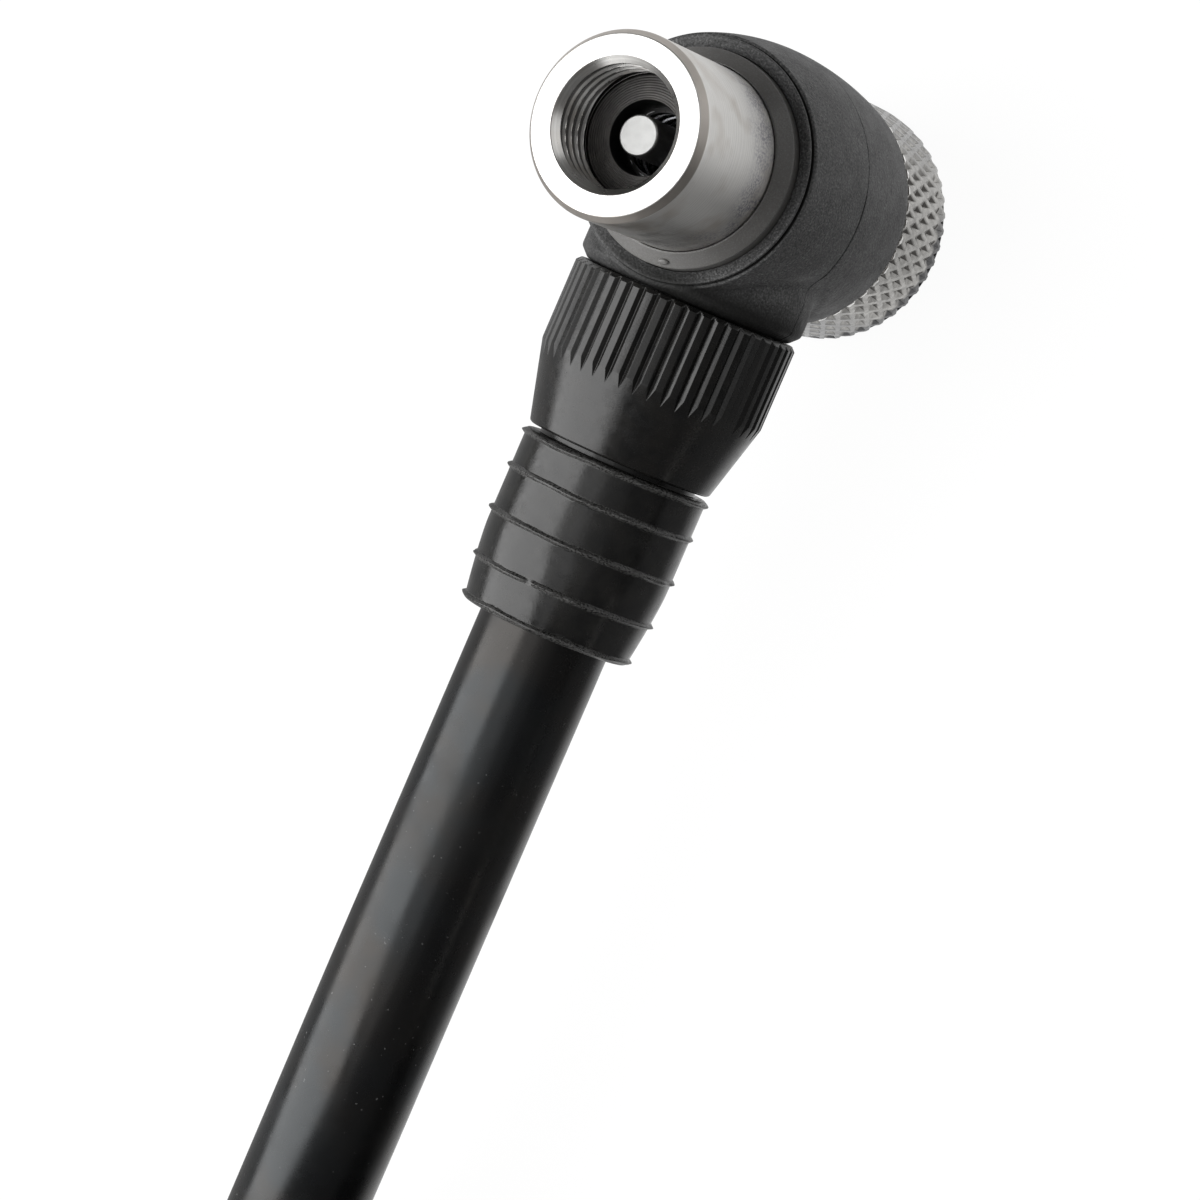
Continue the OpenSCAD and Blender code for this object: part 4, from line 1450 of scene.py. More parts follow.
    def bush(self) -> Shape:
        """Builds the front bush, with the small moulding pip on its nose.

        Returns:
            Its shape.
        """
        nose_r = self.bush_bore_r + self.bush_lip
        ring = lathe(HEAD_AXIS, [
            (self.bush_foot, self.bush_bore_r), (self.bush_foot, self.bush_r),
            (self.shoulder_top, self.bush_r, 0.07), (self.bush_top, nose_r, 0.07),
            (self.bush_top, self.bush_bore_r, 0.05)], self.columns, 0.1, closed=True)
        rise, drop = self.bush_top - self.shoulder_top, self.bush_r - nose_r
        turned = math.radians(self.pip_angle)
        pip_out = self.bush_r - (self.pip_z - self.shoulder_top) / rise * drop
        spot = HEAD_AXIS.place(np.array(self.pip_z), np.array(pip_out), np.array(turned))
        out = np.array([rise * math.cos(turned), rise * math.sin(turned), drop])
        out = out / math.hypot(rise, drop)
        pip_axis = Axis(tuple(spot), tuple(out), (-math.sin(turned), math.cos(turned), 0.0))
        pip = lathe(pip_axis, [(-0.1, 0), (-0.1, self.pip_r), (0.1, self.pip_r, 0.06),
                               (self.pip_h - 0.01, 0.6 * self.pip_r, 0.05), (self.pip_h, 0)],
                    32, 0.03)
        along = np.array(pip_axis.side)
        reach = (pip.points - spot) @ along
        pip.points += (self.pip_stretch - 1) * reach[:, None] * along
        return ring.joined(pip)

    def build(self) -> None:
        """Builds and dresses the head's turned pieces."""
        build_piece("screw_collar", self.collar(), Finishes.COLLAR, ["collar_spindle"],
                    Body.COLLAR)
        build_piece("mouth_gasket", self.gasket(), Finishes.GASKET, ["face_gasket"],
                    Body.COLLAR, 60)
        build_piece("pin", self.pin(), Finishes.PIN_FACE, ["push_pin"], Body.PIN)
        build_piece("bush", self.bush(), Finishes.BUSH, ["front_bush"])


@dataclass
class ReturnSpring:
    """The spring that pulls the pin back, and that the pin presses flat."""

    wire_r: float = 0.17
    mean_r: float = 2.1
    turns: int = 6
    low: float = 18.2
    high: float = 25.3
    fit: float = 0.02
    pressed: float = 0.36

    def path(self) -> Array:
        """Gives the wire's centreline.

        Returns:
            Its points.
        """
        share = np.linspace(0, 1, 24 * self.turns + 1)
        angle = share * self.turns * TURN
        low, high = self.low + self.wire_r + self.fit, self.high - self.wire_r - self.fit
        return np.stack([self.mean_r * np.cos(angle), self.mean_r * np.sin(angle),
                         low + share * (high - low)], axis=-1)

    def build(self) -> None:
        """Builds the spring, and gives it a mesh of its own."""
        spring = build_piece("spring", rod(self.path(), self.wire_r, 10), Finishes.SPRING,
                             ["return_spring"], Body.COLLAR)
        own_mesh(spring)


@dataclass
class Knob:
    """The knurled knob at the head's back."""

    r: float = 7.35
    thick: float = 6.5
    bevel: float = 1.0
    bevel_depth: float = 0.08
    recess_r: float = 3.2
    recess_depth: float = 2.0
    web: float = 1.0
    hole_r: float = 1.35
    seat_r: float = 3.02
    seat_flat: float = 2.42
    around: int = 46
    row_len: float = 2.28
    cell: int = 16
    knurl_start: float = 0.12
    knurl_end: float = 6.2
    knurl_inset: float = 0.012
    worn: float = 0.006
    pit_depth: float = 0.24
    pit_share: float = 0.375
    chip_depth: float = 0.06
    chip_w: float = 0.25
    ledge: float = 0.1

    def knurl_rows(self) -> Array:
        """Gives the rows of the knurled side, from the back to the front.

        Returns:
            (w, r) for each row and column.
        """
        columns = self.around * self.cell
        span = self.knurl_end - self.knurl_start
        count = int(span / self.row_len * self.cell)
        i, j = np.indices((count + 1, columns))
        z = self.knurl_start + i * span / count
        from_middle = np.maximum(np.abs((j + i) / self.cell % 1 - 0.5),
                                 np.abs((j - i) / self.cell % 1 - 0.5))
        pits = np.clip(1 - from_middle / self.pit_share, 0, 1)
        worn = self.worn * np.random.RandomState(11).uniform(-1, 1, z.shape)
        bevel = self.bevel_depth * np.clip(1 - z / self.bevel, 0, 1)
        chips = np.clip(round_noise(columns, 130, 5), 0, 1)
        near_front = np.clip((z - self.knurl_end + self.chip_w) / self.chip_w, 0, 1)
        r = self.r - self.knurl_inset + worn - bevel - self.pit_depth * pits
        return np.stack([z, r - self.chip_depth * chips * near_front], axis=-1)

    def shape(self) -> Shape:
        """Builds the whole knob, with each knurl's faces split along their creases.

        Returns:
            Its shape.
        """
        columns = self.around * self.cell
        angle = round_angles(columns)
        knurl = self.knurl_rows()
        flats = two_flats(angle, self.seat_r, self.seat_flat)
        seat_end = self.recess_depth + self.web
        ledge_r = np.minimum(knurl[-1, :, 1] - 0.02, self.r - self.ledge)
        front = np.array([level_row(z, r, columns) for z, r in (
            (self.knurl_end - 0.02, ledge_r), (self.knurl_end + 0.06, ledge_r - 0.01),
            (self.thick - 0.1, self.r - 0.2), (self.thick, self.r - 0.3),
            (self.thick, self.r - 0.8), (self.thick, flats + 0.05),
            (self.thick - 0.05, flats), (seat_end, flats), (seat_end, self.hole_r))])
        back = soften([
            (seat_end, self.hole_r), (self.recess_depth, self.hole_r),
            (self.recess_depth, self.recess_r, 0.15), (0.0, self.recess_r, 0.15),
            (0.0, self.r - 0.25, 0.06), (0.1, self.r - 0.14)], 0.05)[1:-1]
        rows = np.concatenate([knurl, front, spread(back, columns)])
        points = HEAD_AXIS.place(rows[..., 0], rows[..., 1], angle).reshape(-1, 3)
        quads = grid_quads(len(rows), columns, True)
        creased = quads[:len(knurl) - 1]
        i, j = np.indices(creased.shape[:2])
        rise, fall = (1 - np.abs(2 * (phase % 1) - 1)
                      for phase in ((j + i + 1) / self.cell, (j - i) / self.cell))
        slanted, other = creased[rise < fall], creased[rise >= fall]
        triangles = np.concatenate([slanted[:, [0, 1, 3]], slanted[:, [1, 2, 3]],
                                    other[:, [0, 1, 2]], other[:, [0, 2, 3]]])
        return Shape(points, quads[len(knurl) - 1:].reshape(-1, 4), triangles).outward()

    def build(self) -> None:
        """Builds and dresses the knob."""
        build_piece("knob", self.shape(), Finishes.KNOB, ["knurled_knob"], Body.COLLAR, 20)


@dataclass
class HoseNut:
    """The fluted nut with its conical end."""

    start: float = 7.75
    straight: float = 5.2
    length: float = 10.0
    r: float = 6.95
    end_r: float = 5.7
    bevel: float = 0.25
    flutes: int = 48
    depth: float = 0.2
    bore_r: float = 4.59
    spigot_r: float = 4.42
    spigot_room: float = 4.65
    sleeve_room: float = 8.8
    relief_r: float = 4.92
    register_r: float = 5.6
    register_h: float = 0.04
    ramp: tuple[float, ...] = (0.225, 0.245, 0.485, 0.515, 0.755, 0.775)
    ramp_cut: tuple[float, ...] = (0, 0.04, 1, 1, 0.04, 0)
    end_bevel: float = 0.12
    sleeve_lip: float = 0.75
    lip_r: float = 4.05
    relief_seat: float = 1.2
    overlap: float = 0.02

    def section(self) -> tuple[Array, Array]:
        """Gives the fluted section, with a column at each of its edges.

        Returns:
            The columns' angles, and how deep the flute is at each.
        """
        between = (0.0, 0.08, 0.16, 0.32, 0.4, 0.6, 0.68, 0.84, 0.92)
        share = np.sort(self.ramp + between)
        cut = np.interp(share, self.ramp, self.ramp_cut)
        start = np.arange(self.flutes)[:, None]
        return ((start + share) * TURN / self.flutes).ravel(), np.tile(cut, self.flutes)

    def shape(self) -> Shape:
        """Builds the nut, with its flutes running out on the cone.

        Returns:
            Its shape.
        """
        angles, cut = self.section()
        columns = len(angles)
        grip = self.r - self.depth * cut
        slope = (self.r - self.end_r) / (self.length - self.straight)
        meet = self.straight + (self.r - grip) / slope
        first = spread(np.concatenate([np.linspace(0, 0.3, 7),
                                       np.arange(0.8, self.straight - 0.2, 0.6)]), columns)
        last = spread(np.concatenate([
            np.linspace(self.straight + 1.4, self.length - self.end_bevel, 12),
            [self.length - 0.05, self.length]]), columns)
        before = first[-1] + np.array([[0.4], [0.8], [1.0]]) * (meet - self.overlap - first[-1])
        after = last[0] + np.array([[1.0], [0.6], [0.3]]) * (meet + self.overlap - last[0])
        w = np.concatenate([first, before, after, last])
        cone = self.r - slope * np.maximum(0, w - self.straight)
        end = np.clip((w - self.length + self.end_bevel) / self.end_bevel, 0, 1)
        cone = cone - 0.1 * end**2
        face = self.r - self.bevel + np.minimum(w, self.bevel)
        outside = np.stack([w, np.minimum(np.minimum(grip, cone), face)], axis=-1)
        seat, lip = self.length - self.relief_seat, self.sleeve_room - self.sleeve_lip
        inside = soften([
            (self.length, self.end_r - 0.2), (self.length, self.relief_r), (seat, self.relief_r),
            (seat, self.lip_r), (lip, self.lip_r), (lip, self.bore_r),
            (self.spigot_room, self.bore_r), (self.spigot_room, self.spigot_r),
            (-self.register_h, self.spigot_r), (-self.register_h, self.register_r),
            (0.0, self.register_r), (0.0, self.r - 0.5)], 0.06)
        rows = np.concatenate([outside, spread(inside, columns)])
        rows[..., 0] += self.start
        return revolve(ARM_AXIS, rows, columns, closed=True, angles=angles)

    def build(self) -> None:
        """Builds and dresses the nut."""
        build_piece("fluted_nut", self.shape(), Finishes.NUT, ["hose_nut"], sharp=12)


@dataclass
class BendRelief:
    """The ribbed relief, with the thin uneven edges that its mould left."""

    start: float = RELIEF_START
    length: float = 10.65
    r: float = 5.7
    end_r: float = 5.15
    taper_from: float = 0.55
    curve: float = 1.4
    rib_places: tuple[float, ...] = RIB_PLACES
    rib_h: float = 0.3
    rib_w: float = 0.3
    rib_wander: float = 0.05
    spigot_r: float = 4.9
    spigot_len: float = 1.2
    broken_rib: int = 3
    break_angle: float = 86.0
    break_reach: float = 1.8
    break_blur: float = 1.5
    edge: float = 0.08
    gap: float = 0.35
    bore_r: float = 4.02
    columns: int = 240

    def side(self, w: Array) -> Array:
        """Gives the relief's radius between its ribs, at distances from its start."""
        share = np.maximum(0, w / self.length - self.taper_from) / (1 - self.taper_from)
        return self.r - (self.r - self.end_r) * share**self.curve

    def shape(self) -> Shape:
        """Builds the relief.

        Returns:
            Its shape.
        """
        steps = np.concatenate([np.linspace(0, self.length, 36)] + [
            place + np.linspace(-0.24, 0.24, 15) for place in self.rib_places])
        w = np.sort(steps[(steps >= 0.0) & (steps <= self.length)])
        side = spread(self.side(w), self.columns)
        for index, place in enumerate(self.rib_places):
            wander = self.rib_wander * round_noise(self.columns, 14, 30 + index)
            ragged = (0.75 + 0.25 * round_noise(self.columns, 40, 50 + index)
                      + 0.2 * round_noise(self.columns, 11, 70 + index))
            if index == self.broken_rib:
                away = np.abs(np.degrees(round_angles(self.columns)) - self.break_angle)
                ragged = ragged * np.clip((away - self.break_reach) / self.break_blur, 0, 1)
            away = np.abs(w[:, None] - place - wander)
            rise = np.clip(1.15 - away / (self.rib_w / 2), 0, 1)
            side = side + self.rib_h * ragged * rise**0.7
        ends = np.clip(np.minimum(w, self.length - w) / self.edge, 0, 1)
        side = side - 0.07 * (1 - ends[:, None]) ** 2
        outside = np.stack(np.broadcast_arrays(w[:, None], side), axis=-1)
        back = -self.gap - self.spigot_len
        inside = soften([
            (self.length, self.end_r - 0.15), (self.length, self.bore_r), (back, self.bore_r),
            (back, self.spigot_r), (0.0, self.spigot_r), (0.0, self.r - 0.1)], 0.08)
        rows = np.concatenate([outside, spread(inside, self.columns)])
        rows[..., 0] += self.start
        return revolve(ARM_AXIS, rows, self.columns, closed=True)

    def build(self) -> None:
        """Builds and dresses the relief."""
        build_piece("ribbed_relief", self.shape(), Finishes.RELIEF, ["bend_relief"],
                    sharp=50)


# The hose and the hand end


# The hose runs into the crimped sleeve here, and the hand end leans up from it
HOSE_END = (94.2, -74.0, 12.4)
CRIMP_LEN = 11.0
HAND_TILT = math.radians(4.7972)
RISE, LEVEL = math.sin(HAND_TILT), math.cos(HAND_TILT)
HAND_AXIS = Axis((HOSE_END[0], HOSE_END[1] + CRIMP_LEN * LEVEL, HOSE_END[2] + CRIMP_LEN * RISE),
                 (0, LEVEL, RISE), (0, -RISE, LEVEL))


@dataclass
class Hose:
    """The rubber hose, from the head to the crimped sleeve, with its strap."""

    r: float = 4.0
    bore_r: float = 2.0
    exit_m: Point = (0, -0.02875, 0.0145)
    length_m: float = 0.83
    run_m: tuple[Point, ...] = (
        (0, -0.0126, 0.0145), (0, -0.02875, 0.0145), (0, -0.04, 0.0145), (0, -0.052, 0.0145),
        (-0.0003, -0.06, 0.0138), (-0.0012, -0.068, 0.0119), (-0.0024, -0.076, 0.0094),
        (-0.0035, -0.084, 0.0069), (-0.0044, -0.091, 0.0051), (-0.0046, -0.096, 0.0046),
        (-0.0046, -0.099, 0.0046))
    coil_centre_m: Pair = (0.0448, -0.107)
    coil_r: float = 49.4
    coil_pitch: float = 8.6
    coil_turns: float = 2.5
    coil_z: Pair = (4.6, 13.2)
    tail_m: tuple[Point, ...] = (
        (0.0942, -0.099, 0.0132), (0.0942, -0.092, 0.0132), (0.0942, -0.084, 0.0127),
        (0.0942, -0.076989, 0.012149), (0.0942, -0.074, 0.0124), (0.0942, -0.0632, 0.013305))
    step: float = 1.6
    climb_turns: float = 0.5
    strap_w: float = 8.0
    strap_t: float = 0.5
    strap_slack: float = 0.1
    lap_gap: float = 0.03
    lap_steps: int = 36
    stud_r: float = 1.7
    stud_h: float = 0.6

    def coil_at(self, turn: Array) -> Array:
        """Gives the coil's points.

        Args:
            turn: how many turns from the coil's start.

        Returns:
            The points, in millimetres.
        """
        half_way = self.coil_turns / 2
        r = self.coil_r - self.coil_pitch * np.where(turn < half_way, turn, self.coil_turns - turn)
        climb = np.clip((turn - half_way) / self.climb_turns + 0.5, 0, 1)
        angle = math.pi + TURN * turn
        low, high = self.coil_z
        x, y = (c / MM for c in self.coil_centre_m)
        return np.stack([x + r * np.cos(angle), y + r * np.sin(angle),
                         low + (high - low) * (1 - np.cos(math.pi * climb)) / 2], axis=-1)

    def path(self) -> Array:
        """Gives the hose's whole centreline.

        Returns:
            Its points, in millimetres.
        """
        coil = self.coil_at(np.linspace(0, self.coil_turns, round(150 * self.coil_turns) + 1))
        start, end = np.array(self.run_m) / MM, np.array(self.tail_m) / MM
        into = smooth_curve([*start, coil[0]], self.step)
        out = smooth_curve([coil[-1], *end], self.step)
        return np.concatenate([into[:-1], coil, out[1:]])

    def strap_outline(self, extra: float) -> Array:
        """Gives the strap's loop round the strands, seen along them.

        Args:
            extra: how far the loop lies outside the strands.

        Returns:
            (out, up) for each point, evenly spaced, going round once.
        """
        reach = self.strap_w / 2 / (TURN * self.coil_r)
        turns = np.array([k + 0.25 + side * reach for k in range(3) for side in (-1, 0, 1)])
        strands = self.coil_at(turns)
        centre_y = self.coil_centre_m[1] / MM
        angle = round_angles(64)
        ring = np.stack([np.cos(angle), np.sin(angle)], axis=-1)
        spots = np.stack([centre_y - strands[:, 1], strands[:, 2]], axis=-1)
        cloud = spots[:, None] + (self.r + self.strap_slack + extra) * ring
        cloud = cloud.reshape(-1, 2)
        cloud = cloud[np.lexsort((cloud[:, 1], cloud[:, 0]))]
        hull: list[Array] = []
        for order in (cloud, cloud[::-1]):
            chain: list[Array] = []
            for spot in order:
                while len(chain) > 1 and np.cross(chain[-1] - chain[-2], spot - chain[-1]) <= 0:
                    chain.pop()
                chain.append(spot)
            hull += chain[:-1]
        loop = np.array(hull + hull[:1])
        run = np.concatenate([[0], np.cumsum(np.linalg.norm(np.diff(loop, axis=0), axis=1))])
        even = np.linspace(0, run[-1], 161)[:-1]
        return np.stack([np.interp(even, run, loop[:, k]) for k in (0, 1)], axis=-1)

    def strap(self) -> Shape:
        """Builds the strap, with its overlapping end and its stud.

        Returns:
            Its shape.
        """
        x, y = (c / MM for c in self.coil_centre_m)
        across = np.array([-0.5, -0.485, -0.46, 0.46, 0.485, 0.5]) * self.strap_w
        across = x + np.concatenate([across, across[::-1]])[:, None]
        share = np.array([0.75, 0.93, 1.0, 1.0, 0.93, 0.75])
        share = np.concatenate([share, 1 - share])[:, None, None]

        def rows(first: Array, second: Array) -> Array:
            """Gives the rows of the strap's section between an inner and an outer loop."""
            out, up = np.moveaxis(first + (second - first) * share, 2, 0)
            return np.stack(np.broadcast_arrays(across, y - out, up), axis=-1)

        outer = self.strap_outline(self.strap_t)
        band = rows(self.strap_outline(0.0), outer)
        faces = grid_quads(*band.shape[:2], True).reshape(-1, 4)
        shape = Shape(band.reshape(-1, 3), faces, NO_TRIANGLES)
        top = int(np.argmax(outer[:, 1] - 0.02 * np.abs(outer[:, 0] - outer[:, 0].mean())))
        under, over = (np.roll(self.strap_outline(out), self.lap_steps // 2 - top, axis=0)
                       [:self.lap_steps] for out in (self.strap_t + self.lap_gap, 2 * self.strap_t))
        flap = rows(under, over)
        count, steps = flap.shape[:2]
        faces = grid_quads(count, steps, True)
        ends = [np.stack([faces[:, k, 0], faces[:, k, 3], np.full(count, count * steps + pole)], 1)
                for pole, k in enumerate((0, steps - 1))]
        centre = flap.mean(axis=0)[[0, -1]]
        tongue = Shape(np.concatenate([flap.reshape(-1, 3), centre]),
                       faces[:, :-1].reshape(-1, 4), np.concatenate(ends))
        mid = over[self.lap_steps // 2]
        out = mid - under[self.lap_steps // 2]
        out = out / np.linalg.norm(out)
        stud_axis = Axis((x, y - mid[0], mid[1]), (0.0, -out[0], out[1]), (1.0, 0.0, 0.0))
        stud = lathe(stud_axis, [
            (-0.3, 0), (-0.3, self.stud_r), (self.stud_h - 0.25, self.stud_r, 0.2),
            (self.stud_h, self.stud_r - 0.5, 0.2), (self.stud_h, 0)], 48, 0.1)
        return shape.joined(tongue, stud)

    def build(self, sleeve: bpy.types.Object) -> None:
        """Builds and dresses the hose and its strap.

        Args:
            sleeve: the crimped sleeve at its far end; not used.
        """
        path = self.path()
        hose = build_piece("hose", tube(path, self.r, self.bore_r, 48), Finishes.HOSE, [
            "hose_head_end", "hose_run", "hose_coil", "hose_tail", "hose_hand_end"])
        strap = build_piece("storage_strap", self.strap(), Finishes.STRAP,
                            ["coil_strap"])
        run = np.linalg.norm(np.diff(path, axis=0), axis=1).sum() * MM
        log.info("the hose's centreline is %.3f m long", run)
        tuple(self.exit_m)


@dataclass
class HandEnd:
    """The crimped sleeve, the valve with its lock screw, and the squeeze bulb."""

    crimp_len: float = CRIMP_LEN
    crimp_r: float = 4.72
    crimp_places: Point = (-8.4, -5.5, -2.6)
    crimp_depth: float = 0.22
    crimp_w: float = 0.5
    crimp_bore_r: float = 4.02
    flange_r: float = 6.3
    flange_t: float = 1.6
    valve_r: float = 5.2
    valve_len: float = 11.0
    nipple_root_r: float = 3.4
    nipple_tip_r: float = 3.7
    nipple_len: float = 8.5
    barb_root_r: float = 1.8
    barb_tip_r: float = 2.0
    barb_len: float = 8.0
    passage_r: float = 1.2
    lock_w: float = 6.0
    lock_r: float = 1.2
    lock_fit: float = 0.05
    boss_r: float = 2.7
    boss_top: float = 7.2
    head_r: float = 3.6
    head_low: float = 7.6
    head_top: float = 10.8
    head_bevel: float = 0.4
    head_flutes: int = 24
    flute_depth: float = 0.3
    dimple_r: float = 1.9
    dimple_depth: float = 0.35
    groove_w: Pair = (8.9, 9.7)
    groove_r: float = 0.3
    teeth: int = 3
    tooth_share: float = 1.4
    bulb_start: float = 11.2
    bulb_neck_r: float = 6.2
    bulb_neck_len: float = 9.0
    bulb_r: float = 17.0
    bulb_len: float = 50.0
    bulb_wall: float = 2.2
    band_w: float = 3.0
    band_t: float = 0.5
    ear_h: float = 1.5
    ear_reach: float = 0.16
    ear_angle: float = 60.0
    seam_h: float = 0.12
    seam_w: float = 0.03
    fit: float = 0.02
    columns: int = 144

    def crimp(self) -> Shape:
        """Builds the sleeve, pressed into the hose by three grooves.

        Returns:
            Its shape.
        """
        w = np.linspace(-self.crimp_len, 0, 89)
        side = np.full_like(w, self.crimp_r)
        for place in self.crimp_places:
            side = side - self.crimp_depth * np.exp(-((w - place) / self.crimp_w) ** 2)
        ends = np.clip(np.minimum(w + self.crimp_len, -w) / 0.3, 0, 1)
        side = side - 0.2 * (1 - ends) ** 2
        outside = np.stack([w, side], axis=-1)
        inside = soften([(0, self.crimp_r - 0.2), (0, self.crimp_bore_r),
                         (-self.crimp_len, self.crimp_bore_r),
                         (-self.crimp_len, self.crimp_r - 0.2)], 0.1)[1:-1]
        return revolve(HAND_AXIS, np.concatenate([outside, inside]), 72, closed=True)

    def valve_field(self, at: Array) -> Array:
        """Gives the valve's field.

        Args:
            at: the places, as up towards the lock screw, across it and along the hand end.

        Returns:
            The field there.
        """
        up, side, w = at
        r = np.hypot(up, side)
        flange = both(r - self.flange_r, slab(w, 0, self.flange_t), 0.3)
        body = both(r - self.valve_r, slab(w, 0, self.valve_len), 0.4)
        for place in self.groove_w:
            body = both(body, self.groove_r - np.hypot(r - self.valve_r, w - place), 0.1)
        around = np.hypot(w - self.lock_w, side)
        boss = both(around - self.boss_r, slab(up, 0, self.boss_top), 0.3)
        whole = either(either(flange, body, 0.4), boss, 0.7)
        for out, length, root_r, tip_r, span in (
                (w - self.valve_len, self.nipple_len, self.nipple_root_r, self.nipple_tip_r,
                 (self.valve_len - 0.3, self.valve_len + self.nipple_len)),
                (-w, self.barb_len, self.barb_root_r, self.barb_tip_r, (-self.barb_len, 0.3))):
            teeth = np.clip(1 - (out / (length / self.teeth) % 1) * self.tooth_share, 0, 1)
            toothed = 0.8 * (r - root_r - (tip_r - root_r) * teeth)
            whole = np.minimum(whole, np.maximum(toothed, slab(w, *span)))
        hole = np.minimum(r - self.passage_r,
                          np.maximum(around - self.lock_r - self.lock_fit, -up))
        return np.maximum(whole, -hole)

    def valve(self) -> Shape:
        """Builds the valve's body, on rings that are closer where it is finest.

        Returns:
            Its shape.
        """
        out = stations((0.85, 4.0, 0.15), (4.0, 7.6, 0.12))
        along = stations((-8.2, 0.0, 0.2), (-0.06, 11.34, 0.12), (11.4, 19.8, 0.2))
        return solid(HAND_AXIS, self.valve_field, self.columns, out, along)

    def lock(self) -> Shape:
        """Builds the lock screw, with a fluted head and a dimple.

        Returns:
            Its shape.
        """
        axis = HAND_AXIS.across(self.lock_w, 0)
        tip = self.passage_r - self.head_bevel
        low, top = self.head_low, self.head_top
        bevel, dimple = self.flute_depth, top - self.dimple_depth
        profile = soften([
            (tip, 0), (tip, self.lock_r - self.head_bevel), (tip + self.head_bevel, self.lock_r),
            (low, self.lock_r), (low, self.head_r - bevel), (low + bevel, self.head_r),
            (top - self.head_bevel, self.head_r), (top, self.head_r - self.head_bevel),
            (top, self.dimple_r), (dimple, self.dimple_r - self.head_bevel), (dimple, 0)], 0.1)
        rows = spread(profile, self.columns)
        wave = np.abs((np.arange(self.columns) * self.head_flutes / self.columns + 0.5) % 1 - 0.5)
        cut = self.flute_depth * np.clip((wave - 0.2) / 0.3, 0, 1)
        grip = (rows[..., 1] > self.head_r - self.flute_depth - 0.05) & (rows[..., 0] > low)
        rows[..., 1] = np.where(grip, np.minimum(rows[..., 1], self.head_r - cut), rows[..., 1])
        return revolve(axis, rows, self.columns)

    def bulb_side(self, neck_r: float, body_r: float, start: float, length: float) -> Array:
        """Gives the bulb's side, a neck that runs into a rounded body.

        Args:
            neck_r: radius of the neck.
            body_r: radius of the body.
            start: where the body starts.
            length: length of the body.

        Returns:
            (w, r) for each point.
        """
        t = np.linspace(0, 1, 65)
        r = ((neck_r * np.cos(math.pi / 2 * t)) ** 5
             + (body_r * np.sin(math.pi * t)) ** 5) ** 0.2
        r[-1] = 0
        return np.stack([start + length * (1 - np.cos(math.pi * t)) / 2, r], axis=-1)

    def bulb(self) -> Shape:
        """Builds the bulb, with its wall, a rounded mouth and a fine seam.

        Returns:
            Its shape.
        """
        body = self.bulb_start + self.bulb_neck_len
        outside = self.bulb_side(self.bulb_neck_r, self.bulb_r, body, self.bulb_len)
        throat_r = self.nipple_tip_r + self.fit
        inside = self.bulb_side(throat_r, self.bulb_r - self.bulb_wall, body,
                                self.bulb_len - self.bulb_wall)[::-1]
        lip = soften([(body - 1, throat_r), (self.bulb_start, throat_r),
                      (self.bulb_start, self.bulb_neck_r), (body - 1, self.bulb_neck_r)], 0.3)[1:-1]
        rows = spread(np.concatenate([inside, lip, outside]), self.columns)
        seam = np.exp(-(np.cos(round_angles(self.columns)) / self.seam_w) ** 2)
        start = len(inside) + len(lip) + 8
        fade = np.clip(rows[start:, :, 1] / 3, 0, 1)
        rows[start:, :, 1] += self.seam_h * seam * fade
        return revolve(HAND_AXIS, rows, self.columns)

    def band(self) -> Shape:
        """Builds the band round the bulb's neck, with its pinched ear.

        Returns:
            Its shape.
        """
        start = self.bulb_start + (self.bulb_neck_len - self.band_w) / 2
        end, inner = start + self.band_w, self.bulb_neck_r + self.fit
        outer = inner + self.band_t
        rows = spread(soften([(start, inner), (start, outer), (end, outer), (end, inner)], 0.1,
                             closed=True), self.columns)
        turned = round_angles(self.columns) - math.radians(self.ear_angle)
        away = np.abs((turned + math.pi) % TURN - math.pi)
        rows[..., 1] += self.ear_h * np.clip(1.25 - away / self.ear_reach, 0, 1) ** 0.6
        return revolve(HAND_AXIS, rows, self.columns, closed=True)

    def build(self) -> bpy.types.Object:
        """Builds and dresses the hand end.

        Returns:
            The crimped sleeve, which belongs to the hose.
        """
        sleeve = build_piece("crimped_sleeve", self.crimp(), Finishes.FITTING,
                             ["crimp_sleeve"])
        build_piece("valve", self.valve(), Finishes.FITTING, ["valve_body"])
        build_piece("lock_knob", self.lock(), Finishes.STEEL, ["lock_screw"],
                    Body.LOCK)
        build_piece("bulb", self.bulb(), Finishes.BULB, ["squeeze_bulb"])
        build_piece("bulb_band", self.band(), Finishes.STEEL, ["neck_band"])
        return sleeve


INNER_FINISHES = {
    "shell_dowels": Finishes.STEEL, "rear_bush": Finishes.BEARING,
    "thrust_washer": Finishes.WASHER, "air_block": Finishes.BRASS,
    "spindle_rings": Finishes.SEAL, "piston_ring": Finishes.SEAL,
    "spring_seat_ring": Finishes.BLACKED,
    "knob_screw": Finishes.STEEL, "hose_sleeve": Finishes.BRASS,
}


def dress_inner_nodes() -> None:
    """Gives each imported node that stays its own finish."""
    for node, finish in INNER_FINISHES.items():
        piece = bpy.data.objects[node]
        if not piece.material_slots:
            piece.data.materials.append(None)
        for slot in piece.material_slots:
            slot.material = finish.make()
        log.info("%s: kept, in %s", node, finish.value.name)


# The studio


LAMP_TARGET = Vector((0.0, -0.02, 0.015))


def leaning(angle: float, aside: float, distance: float) -> Vector:
    """Gives a place over the target, leaning by degrees to the right and by a share aside."""
    turned = math.radians(angle)
    return LAMP_TARGET + distance * Vector((math.sin(turned), aside, math.cos(turned)))


@dataclass(frozen=True)
class Panel:
    """A soft lamp: where it hangs, its height and width, and how bright its face is."""

    place: Vector
    size: Pair
    radiance: float


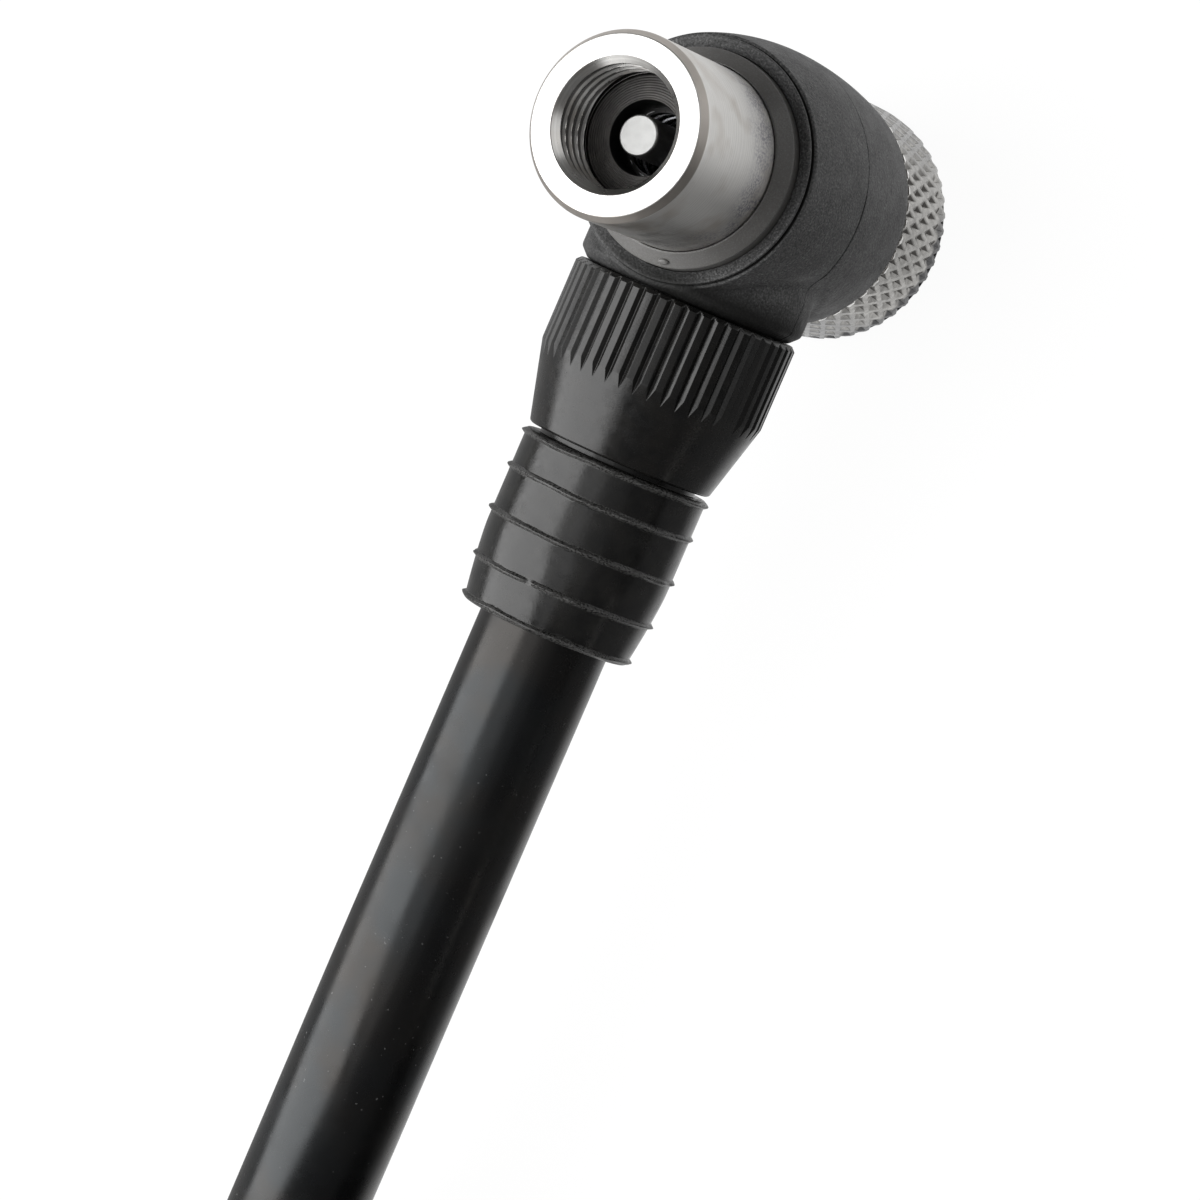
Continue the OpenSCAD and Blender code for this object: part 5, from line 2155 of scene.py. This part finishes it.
class Lamps(Enum):
    """The lamps: the key at the upper left, three fills on the right and one in front."""

    KEY_LAMP = Panel(leaning(-41.0, -0.36, 0.5), (0.75, 0.6), 3.6)
    NEAR_FILL = Panel(leaning(7.0, -0.1, 0.6), (0.5, 0.22), 0.8)
    FAR_FILL = Panel(leaning(27.0, -0.1, 0.6), (0.5, 0.2), 0.2)
    SIDE_LAMP = Panel(Vector((0.43, 0.4, 0.2)), (0.35, 0.55), 0.8)
    FRONT_LAMP = Panel(Vector((-0.1, -0.48, 0.17)), (0.26, 0.56), 1.15)


@dataclass
class Studio:
    """The camera, the floor and the lamps."""

    eye: Point = (136.138, -0.646, 300.12)
    right: Point = (0.81799, 0.39568, -0.41753)
    up: Point = (-0.39037, 0.91496, 0.10229)
    back: Point = (0.4225, 0.07932, 0.90289)
    lens: float = 162.278
    floor_r: float = 3.0
    world_grey: float = 0.1
    seen_glow: float = 0.9
    seen_strength: float = 1.06
    mirrored_glow: float = 0.8
    bright: float = 0.9
    strip: Pair = (8.0, 16.0)
    patch: Pair = (150.0, 400.0)
    patch_fade: Pair = (-12.0, 8.0)
    dim_left: float = 0.22
    dim_right: float = 0.05

    def camera(self) -> None:
        """Places the camera."""
        data = bpy.data.cameras.new("camera")
        data.sensor_width = 36.0
        data.sensor_fit = "HORIZONTAL"
        data.lens = self.lens
        data.clip_start, data.clip_end = 0.01, 20.0
        camera = new_object("camera", data)
        turned = Matrix((self.right, self.up, self.back)).transposed().to_4x4()
        camera.matrix_world = Matrix.Translation(Vector(self.eye) * MM) @ turned
        bpy.context.scene.camera = camera

    def hang(self, lamp: Lamps) -> None:
        """Hangs one soft lamp that faces the head.

        Args:
            lamp: which one.
        """
        panel = lamp.value
        data = bpy.data.lights.new(lamp.name.lower(), "AREA")
        data.shape = "RECTANGLE"
        data.size_y, data.size = panel.size
        data.energy = panel.radiance * math.pi * math.prod(panel.size)
        hung = new_object(data.name, data)
        way = (LAMP_TARGET - panel.place).normalized()
        hung.rotation_euler = way.to_track_quat("-Z", "Y").to_euler()
        hung.location = panel.place
        hung.visible_camera = False

    def floor(self) -> None:
        """Lays the pale floor."""
        rim = HEAD_AXIS.place(np.array(0.0), np.array(self.floor_r), round_angles(64)).tolist()
        mesh = bpy.data.meshes.new("floor")
        mesh.from_pydata(rim, [], [list(range(len(rim)))])
        mesh.materials.append(self.paper())
        new_object("floor", mesh)

    def paper(self) -> bpy.types.Material:
        """Builds the floor's paper, which is white to the eye and brightest under the part.

        Returns:
            The material.
        """
        board = Board(bpy.data.materials.new("white_floor"))
        path = board.add("LightPath").outputs
        mirror = board.most(path["Is Glossy Ray"], path["Is Transmission Ray"])
        share = board.most(board.span(path["Is Camera Ray"], 0, 1, 0, self.seen_glow),
                           board.span(mirror, 0, 1, 0, self.mirrored_glow))
        aside = board.sum(board.part("X"), 0.0, "ABSOLUTE")
        strip, patch = (board.span(aside, *(c * MM for c in ends), 1.0, 0.0)
                        for ends in (self.strip, self.patch))
        patch = board.product(patch, board.ramp("Y", *self.patch_fade))
        near = board.span(board.most(strip, patch), 0, 1, 0, self.bright)
        far = board.ramp("X", -self.strip[1], -self.strip[0], self.dim_left, self.dim_right)
        seen = board.span(path["Is Camera Ray"], 0, 1, 0, self.seen_strength)
        strength = board.most(near, far, seen)
        paper = board.add("BsdfDiffuse", {"Color": (0.75, 0.75, 0.75, 1)})
        glow = board.add("Emission", {"Color": (1, 1, 1, 1), "Strength": strength})
        surface = board.add("MixShader", {0: share, 1: paper.outputs[0], 2: glow.outputs[0]})
        board.add("OutputMaterial", {"Surface": surface.outputs[0]})
        return board.owner

    def world(self) -> None:
        """Sets the dim light of the room."""
        board = Board(bpy.data.worlds.new("studio"))
        seen = board.add("LightPath").outputs["Is Camera Ray"]
        light = board.add("Background", {"Color": (1.0, 1.0, 1.0, 1.0),
                                         "Strength": board.span(seen, 0, 1, self.world_grey)})
        board.add("OutputWorld", {"Surface": light.outputs[0]})
        bpy.context.scene.world = board.owner
        bpy.context.scene.view_settings.view_transform = "Standard"

    def build(self) -> None:
        """Sets up the whole studio."""
        self.camera()
        self.world()
        self.floor()
        for lamp in Lamps:
            self.hang(lamp)


def main() -> None:
    """Builds the studio and then every piece of the part."""
    logging.basicConfig(level=logging.INFO, format="%(name)s: %(message)s")
    Studio().build()
    sleeve = HandEnd().build()
    Hose().build(sleeve)
    for sub_assembly in (Housing, ScrewHead, ReturnSpring, Knob, HoseNut, BendRelief):
        sub_assembly().build()
    dress_inner_nodes()


if __name__ == "__main__":
    main()
